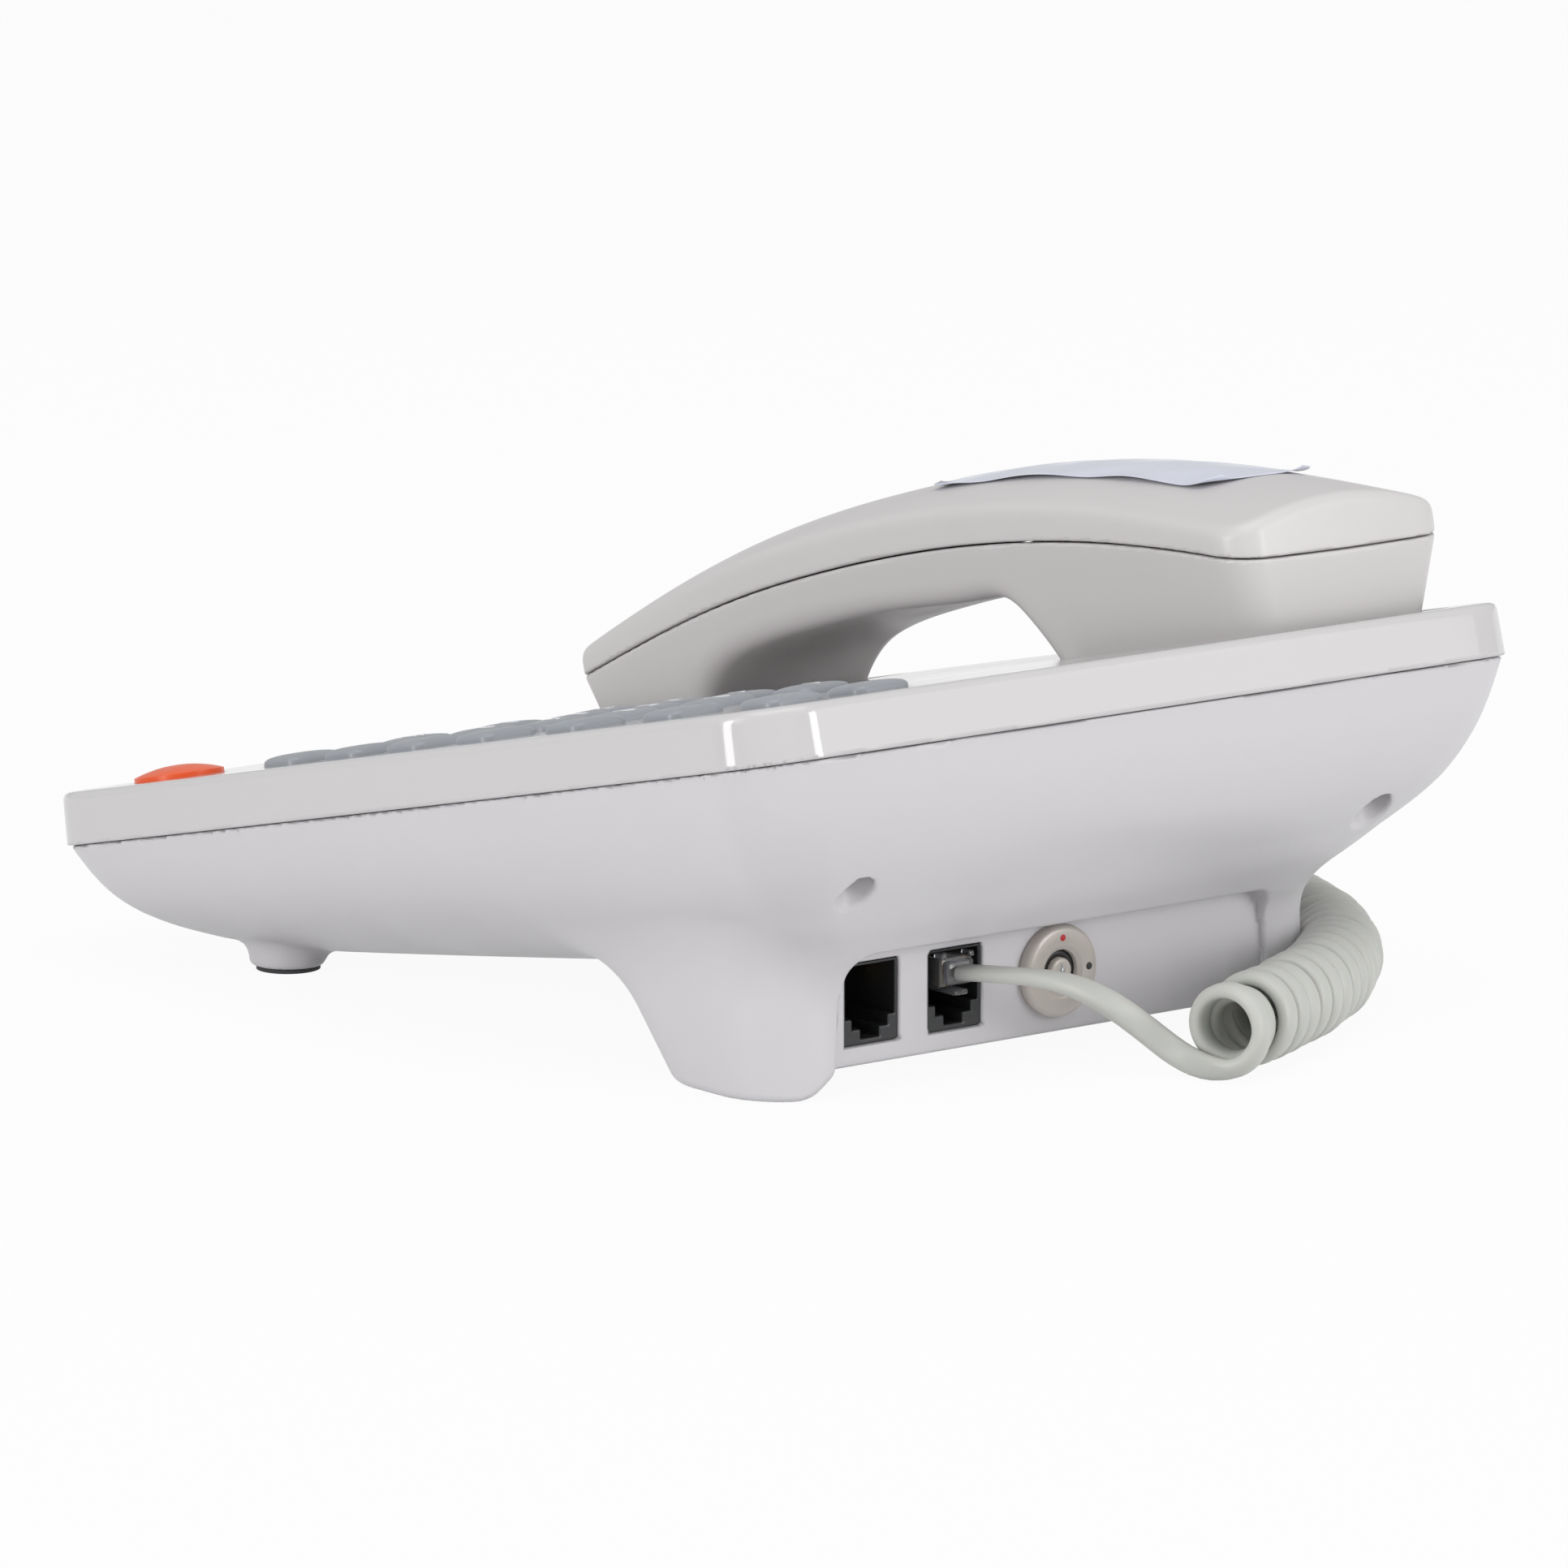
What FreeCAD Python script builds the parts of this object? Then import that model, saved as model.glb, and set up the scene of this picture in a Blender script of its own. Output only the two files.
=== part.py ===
"""Corded desk telephone: a sloping base on a stand, a lift-off handset, sprung keys, a key lock and a curly cord.

Frame: millimetres, +X to the user's right, +Y to the back, +Z up, origin on the table under the middle of the box.
Most pieces are drawn in the deck's own frame (X, along the slope, away from the deck) and placed by its tilt.
"""

import FreeCAD
import Part
import math
import os
import re
import Sketcher
from FreeCAD import Placement, Rotation, Vector

SIZES = {
    # deck and upper shell
    "deck_width": 194.4,
    "deck_length": 233.0,
    "deck_tilt": 12.5,
    "deck_rise": 55.75,
    "deck_setback": -1.35,
    "side_bulge": 4.9,
    "end_bulge": 3.7,
    "corner_round": 17.0,
    "band_depth": 10.2,
    "band_flare": 0.5,
    "rim_round": 1.2,
    "shell_wall": 2.2,
    "seam_gap": 0.3,
    "fit_gap": 0.3,
    # lower shell and stand
    "hull_inset": 0.7,
    "hull_depth": 33.0,
    "stand_half": 66.0,
    "stand_front": 38.0,
    "stand_back": 84.5,
    "stand_top": 44.0,
    "stand_lean": 3.2,
    "stand_sweep": 19.0,
    "stand_round": 12.0,
    "stand_wall": 2.4,
    "arch_half": 50.0,
    "arch_height": 4.5,
    "arch_splay": 9.5,
    "wall_face": 82.0,
    "recess_half": 49.7,
    "recess_top": 26.0,
    "recess_round": 4.0,
    # feet and case screws
    "foot_reach": 62.0,
    "foot_setback": 72.0,
    "foot_radius": 7.6,
    "foot_taper": 1.0,
    "pad_radius": 6.2,
    "pad_height": 1.7,
    "pad_show": 0.8,
    "screw_reach": 62.1,
    "screw_back": 97.0,
    "screw_front": 95.0,
    "screw_well": 3.6,
    "screw_seat": 15.0,
    "screw_shank": 1.45,
    "screw_pilot": 1.2,
    "screw_head": 2.9,
    "screw_head_height": 2.2,
    "boss_radius": 5.4,
    "upper_boss": 3.2,
    # keys
    "key_width": 13.0,
    "key_length": 10.8,
    "key_proud": 2.4,
    "key_round": 2.6,
    "key_crown": 1.3,
    "key_travel": 1.2,
    "flange_reach": 0.7,
    "flange_height": 1.0,
    "dial_left": 3.0,
    "dial_pitch_across": 22.5,
    "dial_front": -49.0,
    "dial_pitch_along": 22.0,
    "feature_left": 73.0,
    "feature_front": -51.5,
    "recall_right": 77.0,
    "recall_front": -87.0,
    "recall_radius": 8.7,
    "recall_proud": 2.5,
    # boards
    "mat_height": 1.2,
    "board_height": 1.6,
    "mat_length": 199.0,
    "mat_width": 90.0,
    "mat_middle_across": 37.0,
    "mat_middle_along": 1.75,
    "main_level": 21.5,
    "main_width": 136.0,
    "main_length": 92.0,
    "main_middle_along": 22.0,
    "post_radius": 3.2,
    "board_screw": 1.3,
    "board_screw_head": 2.6,
    "board_screw_head_height": 1.6,
    "board_screw_length": 6.0,
    # sockets and lock on the back wall
    "jack_width": 13.0,
    "jack_low": 8.5,
    "jack_high": 24.0,
    "jack_depth": 19.0,
    "line_jack_right": 42.5,
    "cord_jack_right": 22.75,
    "jack_slot": 9.8,
    "jack_slot_low": 15.4,
    "jack_slot_high": 22.9,
    "jack_slot_depth": 15.0,
    "contact_size": 0.5,
    "contact_pitch": 1.25,
    "lock_right": -1.0,
    "lock_level": 16.7,
    "lock_flange": 8.7,
    "lock_flange_height": 2.6,
    "lock_barrel": 6.5,
    "lock_length": 18.0,
    "lock_core": 3.9,
    "lock_keyway": 2.3,
    "lock_ring": 3.7,
    "lock_keyway_depth": 6.0,
    "lock_nut": 9.0,
    "lock_nut_height": 3.0,
    "cam_reach": 9.0,
    "cam_width": 7.0,
    "cam_height": 1.5,
    # hook
    "hook_along": 66.0,
    "hook_radius": 3.2,
    "hook_rise": 3.5,
    "hook_collar": 5.0,
    "hook_collar_height": 1.2,
    "hook_spring_radius": 4.2,
    "hook_spring_wire": 0.5,
    "hook_switch_width": 12.0,
    "hook_switch_height": 5.0,
    # ringer
    "ringer_radius": 20.0,
    "ringer_height": 9.0,
    "ringer_left": -44.0,
    "ringer_front": -52.0,
    # handset
    "handset_left": -58.0,
    "handset_half": 26.5,
    "handset_waist": 1.8,
    "handset_front": -102.5,
    "handset_back": 106.0,
    "handset_end_bulge": 1.5,
    "handset_corner": 10.0,
    "crown_level": 37.0,
    "crown_along": 14.0,
    "crown_radius": 400.0,
    "crown_height": 7.2,
    "seam_drop": 13.1,
    "handset_wall": 2.3,
    "well_depth": 3.0,
    "well_clearance": 1.4,
    "mouth_rear": -65.0,
    "ear_front": 49.5,
    "scoop_round": 17.3,
    "grip_front_level": 11.6,
    "grip_middle_level": 15.9,
    "grip_back_level": 12.9,
    "driver_radius": 17.0,
    "driver_height": 6.0,
    "driver_along": 79.0,
    "microphone_radius": 5.0,
    "microphone_height": 4.0,
    "microphone_along": -80.0,
    "weight_length": 60.0,
    "weight_width": 22.0,
    "weight_height": 3.0,
    "film_length": 78.0,
    "film_width": 34.0,
    "film_height": 0.25,
    "film_along": 62.0,
    "handset_jack_level": 3.05,
    "handset_jack_width": 11.0,
    "handset_jack_height": 7.0,
    "handset_jack_depth": 14.0,
    # curly cord
    "plug_width": 7.7,
    "plug_height": 5.8,
    "plug_length": 12.0,
    "latch_rise": 2.2,
    "latch_half": 2.0,
    "cord_radius": 2.2,
    "coil_radius": 9.2,
}

doc = FreeCAD.newDocument("DeskTelephone")
sheet = doc.addObject("Spreadsheet::Sheet", "Sizes")
for row, (alias, number) in enumerate(SIZES.items(), 1):
    sheet.set(f"A{row}", alias)
    sheet.set(f"B{row}", str(number))
    sheet.setAlias(f"B{row}", alias)
doc.recompute()

nodes = {}
UP = Vector(0, 0, 1)
BACK = Vector(0, 1, 0)


def value(text):
    """The number that an expression of named sizes stands for."""
    return float(sheet.evalExpression(str(text)))


def bind(item, prop, text):
    """Tie a property to named sizes of the sheet."""
    item.setExpression(prop, re.sub(r"[a-z]+(_[a-z]+)+", r"Sizes.\g<0>", str(text)))


def place(item, at=("0", "0", "0"), turn=None):
    """Tie an object's position to named sizes, and turn it."""
    if turn:
        item.Placement = Placement(Vector(), turn)
    for axis, text in zip("xyz", at):
        bind(item, f"Placement.Base.{axis}", text)
    return item


def solid(kind, name, at=("0", "0", "0"), turn=None, **sizes):
    """A primitive whose sizes and place are tied to the sheet."""
    item = doc.addObject(f"Part::{kind}", name)
    for prop, text in sizes.items():
        bind(item, prop, text)
    return place(item, at, turn)


def block(name, across, along, up):
    """A box given by three (low, high) pairs of expressions."""
    spans = {prop: f"({high}) - ({low})" for prop, (low, high) in
             zip(("Length", "Width", "Height"), (across, along, up))}
    return solid("Box", name, at=(across[0], along[0], up[0]), **spans)


def disc(name, radius, low, high, at):
    """An upright cylinder at (x, y) between two levels."""
    return solid("Cylinder", name, at=(at[0], at[1], low), Radius=radius, Height=f"({high}) - ({low})")


def rod(name, radius, front, back, at):
    """A cylinder along +Y at (x, z) between two setbacks."""
    return solid("Cylinder", name, at=(at[0], front, at[1]), turn=Rotation(Vector(1, 0, 0), -90),
                 Radius=radius, Height=f"({back}) - ({front})")


def join(name, *items):
    item = doc.addObject("Part::MultiFuse", name)
    item.Shapes = list(items)
    return item


def overlap(name, *items):
    item = doc.addObject("Part::MultiCommon", name)
    item.Shapes = list(items)
    return item


def cut(name, base, *tools):
    item = doc.addObject("Part::Cut", name)
    item.Base = base
    item.Tool = tools[0] if len(tools) == 1 else join(f"{name}_tools", *tools)
    return item


def rounded(name, base, radius, wanted):
    """Round the edges of a solid that a test picks."""
    doc.recompute()
    item = doc.addObject("Part::Fillet", name)
    item.Base = base
    reach = value(radius)
    item.Edges = [(number, reach, reach) for number, edge in enumerate(base.Shape.Edges, 1) if wanted(edge)]
    return item


def upright(edge):
    """Whether an edge is straight and vertical in its own frame."""
    first, last = edge.Vertexes[0].Point, edge.Vertexes[-1].Point
    return (last - first).Length > 0.1 and abs((last - first).normalize().z) > 0.9999


def level_at(height):
    """A test for edges that lie at one level."""
    return lambda edge: abs(edge.BoundBox.ZMin - height) < 1e-4 and abs(edge.BoundBox.ZMax - height) < 1e-4


def tilted(item):
    """Give a piece drawn on the deck the deck's tilt; one with a bound place is carried by a compound."""
    if any(path.startswith(".Placement") or path.startswith("Placement") for path, _ in item.ExpressionEngine):
        carrier = doc.addObject("Part::Compound", f"{item.Name}_on_deck")
        carrier.Links = [item]
        item = carrier
    item.Placement = DECK.multiply(item.Placement)
    return item


def node(name, item, on_deck=False):
    """Name a finished piece."""
    if on_deck:
        item = tilted(item)
    item.Label = name
    nodes[name] = item
    return item


DECK = Placement(Vector(0, value("deck_setback"), value("deck_rise")), Rotation(Vector(1, 0, 0), value("deck_tilt")))


def draw(body, name, role, corners, arcs=()):
    """A closed outline on an origin plane: corners are pairs of expressions, arcs are (edge, radius, turn)."""
    sketch = body.newObject("Sketcher::SketchObject", name)
    plane = next(face for face in body.Origin.OriginFeatures if face.Role == role)
    sketch.AttachmentSupport = [(plane, "")]
    sketch.MapMode = "FlatFace"
    spots = [Vector(value(x), value(y), 0) for x, y in corners]
    bends = {edge: (radius, turn) for edge, radius, turn in arcs}
    ends = []
    for edge, start in enumerate(spots):
        stop = spots[(edge + 1) % len(spots)]
        if edge not in bends:
            sketch.addGeometry(Part.LineSegment(start, stop))
            ends.append((1, 2))
            continue
        radius, turn = bends[edge]
        half = (stop - start) * 0.5
        rise = math.sqrt(value(radius) ** 2 - half.Length ** 2)
        centre = start + half + UP.cross(half).normalize() * rise * turn
        angles = [math.atan2(spot.y - centre.y, spot.x - centre.x) for spot in (start, stop)]
        circle = Part.Circle(centre, UP, value(radius))
        sketch.addGeometry(Part.ArcOfCircle(circle, *(angles if turn > 0 else angles[::-1])))
        ends.append((1, 2) if turn > 0 else (2, 1))
    for edge, (x, y) in enumerate(corners):
        start = ends[edge][0]
        following = (edge + 1) % len(corners)
        sketch.addConstraint(Sketcher.Constraint("Coincident", edge, ends[edge][1], following, ends[following][0]))
        for kind, text, number in (("DistanceX", x, spots[edge].x), ("DistanceY", y, spots[edge].y)):
            index = sketch.addConstraint(Sketcher.Constraint(kind, -1, 1, edge, start, number))
            bind(sketch, f"Constraints[{index}]", text)
        if edge in bends:
            index = sketch.addConstraint(Sketcher.Constraint("Radius", edge, value(bends[edge][0])))
            bind(sketch, f"Constraints[{index}]", bends[edge][0])
    return sketch


def pad(body, name, sketch, length, back="0"):
    """Extrude a sketch along its normal from -back to length."""
    feature = body.newObject("PartDesign::Pad", name)
    feature.Profile = sketch
    feature.SideType = "Two sides"
    bind(feature, "Length", length)
    bind(feature, "Length2", back)
    return feature


def rectangle(width, length):
    """Corners of a rectangle about the origin."""
    across, along = f"({width}) / 2", f"({length}) / 2"
    return [(f"-({across})", f"-({along})"), (across, f"-({along})"), (across, along), (f"-({across})", along)]


# ---------------------------------------------------------------- outlines with bowed sides

def bowed_wire(half_across, half_along, side_bow, end_bow, corner):
    """A rounded rectangle whose sides bow out by their bulge, or in where it is negative."""
    def bow_circle(half, reach, bow):
        radius = (reach ** 2 + bow ** 2) / (2 * abs(bow))
        return half - math.copysign(radius, bow), radius

    side_middle, side_radius = bow_circle(half_across, half_along, side_bow)
    end_middle, end_radius = bow_circle(half_along, half_across, end_bow)
    side_reach = side_radius - math.copysign(corner, side_bow)
    end_reach = end_radius - math.copysign(corner, end_bow)
    apart = math.hypot(side_middle, end_middle)
    foot = (side_reach ** 2 - end_reach ** 2 + apart ** 2) / (2 * apart)
    rise = math.sqrt(side_reach ** 2 - foot ** 2)
    across, along = -side_middle / apart, end_middle / apart
    spots = [Vector(side_middle + foot * across + way * rise * along, foot * along - way * rise * across, 0)
             for way in (1, -1)]
    centre = next(spot for spot in spots if 0 < spot.x < half_across and 0 < spot.y < half_along)
    side_way = (centre - Vector(side_middle, 0, 0)).normalize() * math.copysign(1, side_bow)
    end_way = (centre - Vector(0, end_middle, 0)).normalize() * math.copysign(1, end_bow)
    side_end = centre + side_way * corner
    end_start = centre + end_way * corner
    bend = centre + (side_way + end_way).normalize() * corner

    def flip(spot, x, y):
        return Vector(spot.x * x, spot.y * y, 0)

    edges = []
    for x, y in ((1, 1), (-1, 1), (-1, -1), (1, -1)):
        edges.append(Part.Arc(flip(side_end, x, y), flip(bend, x, y), flip(end_start, x, y)).toShape())
    for way in (1, -1):
        edges.append(Part.Arc(flip(side_end, way, -1), Vector(way * half_across, 0, 0),
                              flip(side_end, way, 1)).toShape())
        edges.append(Part.Arc(flip(end_start, -1, way), Vector(0, way * half_along, 0),
                              flip(end_start, 1, way)).toShape())
    return Part.Wire(Part.__sortEdges__(edges))


def outline(name, wire, level, tip=0.0, across=0.0, along=0.0):
    """A wire as an object of the document, moved to its middle and level and tipped about X."""
    item = doc.addObject("Part::Feature", name)
    item.Shape = wire
    item.Placement = Placement(Vector(across, along, level), Rotation(Vector(1, 0, 0), tip))
    return item


def loft(name, sections, ruled=False):
    item = doc.addObject("Part::Loft", name)
    item.Sections = sections
    item.Solid = True
    item.Ruled = ruled
    return item


def deck_wire(inset):
    return bowed_wire(value("deck_width") / 2 - inset, value("deck_length") / 2 - inset, value("side_bulge"),
                      value("end_bulge"), max(value("corner_round") - inset * 0.4, 4.0))


# Inset, mean depth and extra tip of each section of the bowl under the seam, as shares of its depth.
HULL_STEPS = ((0.0, 0.0, 0.0), (4.5, 0.323, 0.6), (11.0, 0.55, 1.4), (21.0, 0.75, 2.2), (35.0, 0.945, 4.0),
              (52.0, 1.0, 4.0))


def hull(name, wall):
    """The bowl of the lower shell, or the space inside its wall."""
    sections = []
    top = -value("band_depth") - value("seam_gap")
    for number, (inset, share, tip) in enumerate(HULL_STEPS):
        depth = share * (value("hull_depth") - wall)
        sections.append(outline(f"{name}_{number}", deck_wire(value("hull_inset") + inset + wall), top - depth, -tip))
    shape = loft(f"{name}_bowl", sections)
    shape.Placement = DECK
    return shape


def slab(name, inset, low, high, flare=0.0):
    """The deck's outline as a block between two levels."""
    return loft(name, [outline(f"{name}_top", deck_wire(inset), high), outline(f"{name}_foot", deck_wire(inset - flare), low)],
                ruled=True)


# ---------------------------------------------------------------- places on the deck

DIAL_NAMES = ("key_1", "key_2", "key_3", "key_4", "key_5", "key_6", "key_7", "key_8", "key_9",
              "key_star", "key_0", "key_hash")
FEATURE_STEPS = (0.0, 20.0, 40.0, 62.0, 90.0, 119.5, 148.5)


def key_spots():
    """Each key's name with its place on the deck, as expressions."""
    spots = {}
    for number, name in enumerate(DIAL_NAMES):
        row, column = divmod(number, 3)
        spots[name] = (f"dial_left + {column} * dial_pitch_across", f"dial_front + {3 - row} * dial_pitch_along")
    for number, step in enumerate(FEATURE_STEPS, 1):
        spots[f"feature_key_{number}"] = ("feature_left", f"feature_front + {step}")
    spots["feature_key_8"] = ("feature_left - dial_pitch_across", f"feature_front + {FEATURE_STEPS[-1] - 3}")
    return spots


KEYS = key_spots()
SCREW_SPOTS = [(f"{side} * screw_reach", along) for side in (1, -1) for along in ("screw_back", "-screw_front")]
MAT_LEVEL = "-shell_wall - fit_gap - flange_height - key_travel - 0.2"
BOARD_LEVEL = f"{MAT_LEVEL} - mat_height"
RINGER_LEVEL = "-hull_depth - band_depth + 5.4"
MAIN_SPOTS = [(f"{across} * (main_width / 2 - 8) - 4", f"main_middle_along + {along} * (main_length / 2 - 16)")
              for across in (1, -1) for along in (1, -1)]
BOARD_SPOTS = [("dial_left - 6", "dial_front + dial_pitch_along / 2"), ("dial_left - 6", "dial_front + 5 * dial_pitch_along"),
               ("feature_left - 12.5", "dial_front - dial_pitch_along / 2"),
               ("feature_left - 12.5", "dial_front + 5.5 * dial_pitch_along")]


def round_edges(body, name, radius, wanted):
    """Round the edges of a body's last feature that a test picks."""
    doc.recompute()
    base = body.Tip
    fillet = body.newObject("PartDesign::Fillet", name)
    fillet.Base = (base, [f"Edge{n}" for n, edge in enumerate(base.Shape.Edges, 1) if wanted(edge)])
    bind(fillet, "Radius", radius)


def key_prism(name, spot, grow, low, high):
    """A rounded block at a key's place, larger than the cap by grow all round."""
    body = doc.addObject("PartDesign::Body", name)
    sketch = draw(body, f"{name}_plan", "XY_Plane", rectangle(f"key_width + 2 * ({grow})", f"key_length + 2 * ({grow})"))
    pad(body, f"{name}_pad", sketch, high, back=f"-({low})")
    round_edges(body, f"{name}_corners", f"key_round + ({grow})", upright)
    body.Placement = Placement(Vector(value(spot[0]), value(spot[1]), 0), Rotation())
    return body


def handset_spot(across="0", along="0"):
    return (f"handset_left + ({across})", along)


# ---------------------------------------------------------------- upper shell

def well(name, front, back, grow, low, high):
    """A cradle well: the handset's plan, grown by a clearance, from front to back under one of its ends."""
    room = f"well_clearance + ({grow})"
    slice_block = block(name, ("handset_left - 50", "handset_left + 50"), (f"{front} - ({room})", f"{back} + {room}"),
                        (low, high))
    return overlap(f"{name}_slice", handset_plan(f"{name}_plan", -value(room)), slice_block)


def build_upper_shell():
    outside = rounded("upper_outside", slab("upper_slab", 0.0, -value("band_depth"), 0.0, value("band_flare")),
                      "rim_round", level_at(0.0))
    inside = slab("upper_inside", value("shell_wall"), -value("band_depth") - 1, -value("shell_wall"))
    ends = (("mouth", "handset_front", "mouth_rear"), ("ear", "ear_front", "handset_back - 2"))
    trays = [well(f"{end}_tray", front, back, "shell_wall", "-well_depth - shell_wall", "-1") for end, front, back in ends]
    wells = [well(f"{end}_well", front, back, "0", "-well_depth", "5") for end, front, back in ends]
    bosses = [disc(f"upper_boss_{n}", "upper_boss", "-band_depth", "-1", spot) for n, spot in enumerate(SCREW_SPOTS)]
    posts = [disc(f"key_post_{n}", "post_radius", BOARD_LEVEL, "-1", spot) for n, spot in enumerate(BOARD_SPOTS)]
    shell = join("upper_filled", cut("upper_cup", outside, inside), *trays, *bosses, *posts)
    holes = [key_prism(f"{name}_hole", spot, "fit_gap", "-shell_wall - 3", "4") for name, spot in KEYS.items()]
    holes.append(disc("recall_hole", "recall_radius + fit_gap", "-6", "4", ("recall_right", "recall_front")))
    holes.append(disc("hook_hole", "hook_radius + fit_gap", "-12", "4", handset_spot(along="hook_along")))
    pilots = [disc(f"upper_pilot_{n}", "screw_pilot", "-band_depth - 1", "-well_depth - 1.2", spot)
              for n, spot in enumerate(SCREW_SPOTS)]
    pilots += [disc(f"post_pilot_{n}", "board_screw", f"{BOARD_LEVEL} - 1", "-shell_wall", spot)
               for n, spot in enumerate(BOARD_SPOTS)]
    node("upper_shell", cut("UpperShell", shell, *wells, *holes, *pilots), on_deck=True)


# ---------------------------------------------------------------- lower shell with its stand

def stand_section(name, level, wall, back_wall):
    """One level of the stand: straight sides that sweep back towards the foot."""
    share = 1 - level / value("stand_top")
    front = value("stand_front") - value("stand_sweep") * (1 - share) + wall
    back = value("stand_back") - value("stand_lean") * (1 - share) - back_wall
    wire = bowed_wire(value("stand_half") - wall, (back - front) / 2, 0.4, 0.4, value("stand_round") - wall)
    return outline(name, wire, level, along=(front + back) / 2)


def build_lower_shell():
    bowl = hull("outer", 0.0)
    space = hull("inner", value("shell_wall"))
    stand = loft("stand_outside", [stand_section("stand_foot", 0.0, 0.0, 0.0),
                                   stand_section("stand_head", value("stand_top"), 0.0, 0.0)], ruled=True)
    back_wall = value("stand_back") - value("wall_face") + value("stand_wall")
    floor = value("arch_height") + value("stand_wall")
    room = loft("stand_inside", [stand_section("room_foot", floor, value("stand_wall"), back_wall),
                                 stand_section("room_head", value("stand_top"), value("stand_wall"), back_wall)], ruled=True)
    feet = [solid("Cone", f"foot_{side}", at=(f"{side} * foot_reach", "-foot_setback", "pad_show"),
                  Radius1="foot_radius", Radius2="foot_radius + foot_taper", Height="12") for side in (1, -1)]
    filled = join("lower_filled", bowl, stand, *feet)
    hollow = cut("lower_hollow", filled, space, room)
    tubes = [tilted(disc(f"screw_tube_{n}", "boss_radius", "-hull_depth - band_depth", "-band_depth - seam_gap", spot))
             for n, spot in enumerate(SCREW_SPOTS)]
    posts = [tilted(disc(f"main_post_{n}", "post_radius", "-hull_depth - band_depth - 8", "-main_level - board_height",
                             spot)) for n, spot in enumerate(MAIN_SPOTS)]
    ringer_ring = tilted(disc("ringer_ring", "ringer_radius + 2.5", "-hull_depth - band_depth",
                              f"{RINGER_LEVEL} + 2.5", ("ringer_left", "ringer_front")))
    carried = overlap("lower_bosses", bowl, join("boss_set", *tubes, *posts, ringer_ring))
    cuts = [tilted(disc(f"screw_well_{n}", "screw_well", "-90", "-screw_seat", spot))
            for n, spot in enumerate(SCREW_SPOTS)]
    cuts += [tilted(disc(f"screw_way_{n}", "screw_shank + 0.2", "-90", "0", spot)) for n, spot in enumerate(SCREW_SPOTS)]
    cuts += [tilted(disc(f"main_pilot_{n}", "board_screw", "-main_level - board_height - 5", "0", spot))
             for n, spot in enumerate(MAIN_SPOTS)]
    cuts.append(tilted(disc("ringer_room", "ringer_radius + fit_gap", RINGER_LEVEL, "0",
                            ("ringer_left", "ringer_front"))))
    cuts += [disc(f"pad_room_{side}", "pad_radius", "0", "pad_height", (f"{side} * foot_reach", "-foot_setback"))
             for side in (1, -1)]
    arch = doc.addObject("PartDesign::Body", "arch")
    pad(arch, "arch_pad", draw(arch, "arch_front", "XZ_Plane", [
        ("-arch_half - arch_splay", "-1"), ("arch_half + arch_splay", "-1"), ("arch_half", "arch_height"),
        ("-arch_half", "arch_height")]), "0", back="stand_back + 40")
    recess = doc.addObject("PartDesign::Body", "recess")
    pad(recess, "recess_pad", draw(recess, "recess_front", "XZ_Plane", [
        ("-recess_half", "-20"), ("recess_half", "-20"), ("recess_half", "recess_top - recess_round"),
        ("recess_half - recess_round", "recess_top"), ("recess_round - recess_half", "recess_top"),
        ("-recess_half", "recess_top - recess_round")], [(2, "recess_round", 1), (4, "recess_round", 1)]),
        "-wall_face", back="wall_face + 20")
    for right in ("line_jack_right", "cord_jack_right"):
        cuts.append(block(f"{right}_window", (f"{right} - jack_width / 2", f"{right} + jack_width / 2"),
                          ("wall_face - 12", "wall_face + 12"), ("jack_low", "jack_high")))
    cuts.append(rod("lock_hole", "lock_barrel + 0.1", "wall_face - 12", "wall_face + 12", ("lock_right", "lock_level")))
    node("lower_shell", cut("LowerShell", join("lower_body", hollow, carried), arch, recess, *cuts))


def build_fasteners():
    """Foot pads and the screws of the case and boards."""
    pads = [disc(f"pad_{side}", "pad_radius", "0", "pad_height", (f"{side} * foot_reach", "-foot_setback"))
            for side in (1, -1)]
    node("foot_pads", join("FootPads", *pads))
    screws = []
    for number, spot in enumerate(SCREW_SPOTS):
        head = disc(f"case_head_{number}", "screw_head", "-screw_seat - screw_head_height", "-screw_seat", spot)
        shank = disc(f"case_shank_{number}", "screw_shank", "-screw_seat - 0.1", "-well_depth - 2", spot)
        slot = block(f"case_slot_{number}", (f"{spot[0]} - screw_head", f"{spot[0]} + screw_head"),
                     (f"{spot[1]} - 0.4", f"{spot[1]} + 0.4"),
                     ("-screw_seat - screw_head_height - 1", "-screw_seat - screw_head_height + 0.9"))
        screws.append(cut(f"case_screw_{number}", join(f"case_blank_{number}", head, shank), slot))
    node("case_screws", join("CaseScrews", *screws), on_deck=True)
    for name, spots, level, way in (("keypad_board_screws", BOARD_SPOTS, f"{BOARD_LEVEL} - board_height", 1),
                                    ("main_board_screws", MAIN_SPOTS, "-main_level", -1)):
        screws = []
        for number, spot in enumerate(spots):
            ends = [f"{level} - {way} * board_screw_head_height", level]
            head = disc(f"{name}_head_{number}", "board_screw_head", *ends[::way], spot)
            ends = [level, f"{level} + {way} * board_screw_length"]
            shank = disc(f"{name}_shank_{number}", "board_screw", *ends[::way], spot)
            screws.append(join(f"{name}_{number}", head, shank))
        node(name, join(f"{name}_set", *screws), on_deck=True)


# ---------------------------------------------------------------- keys and boards

def build_key(name, spot):
    """A domed cap that rises through the deck from a flange under it."""
    cap = key_prism(f"{name}_cap", spot, "0", "-shell_wall - fit_gap", "key_proud")
    round_edges(cap, f"{name}_crown", "key_crown", level_at(value("key_proud")))
    flange = key_prism(f"{name}_flange", spot, "flange_reach", "-shell_wall - fit_gap - flange_height",
                       "-shell_wall - fit_gap")
    node(name, join(f"{name}_piece", cap, flange), on_deck=True)


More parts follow.
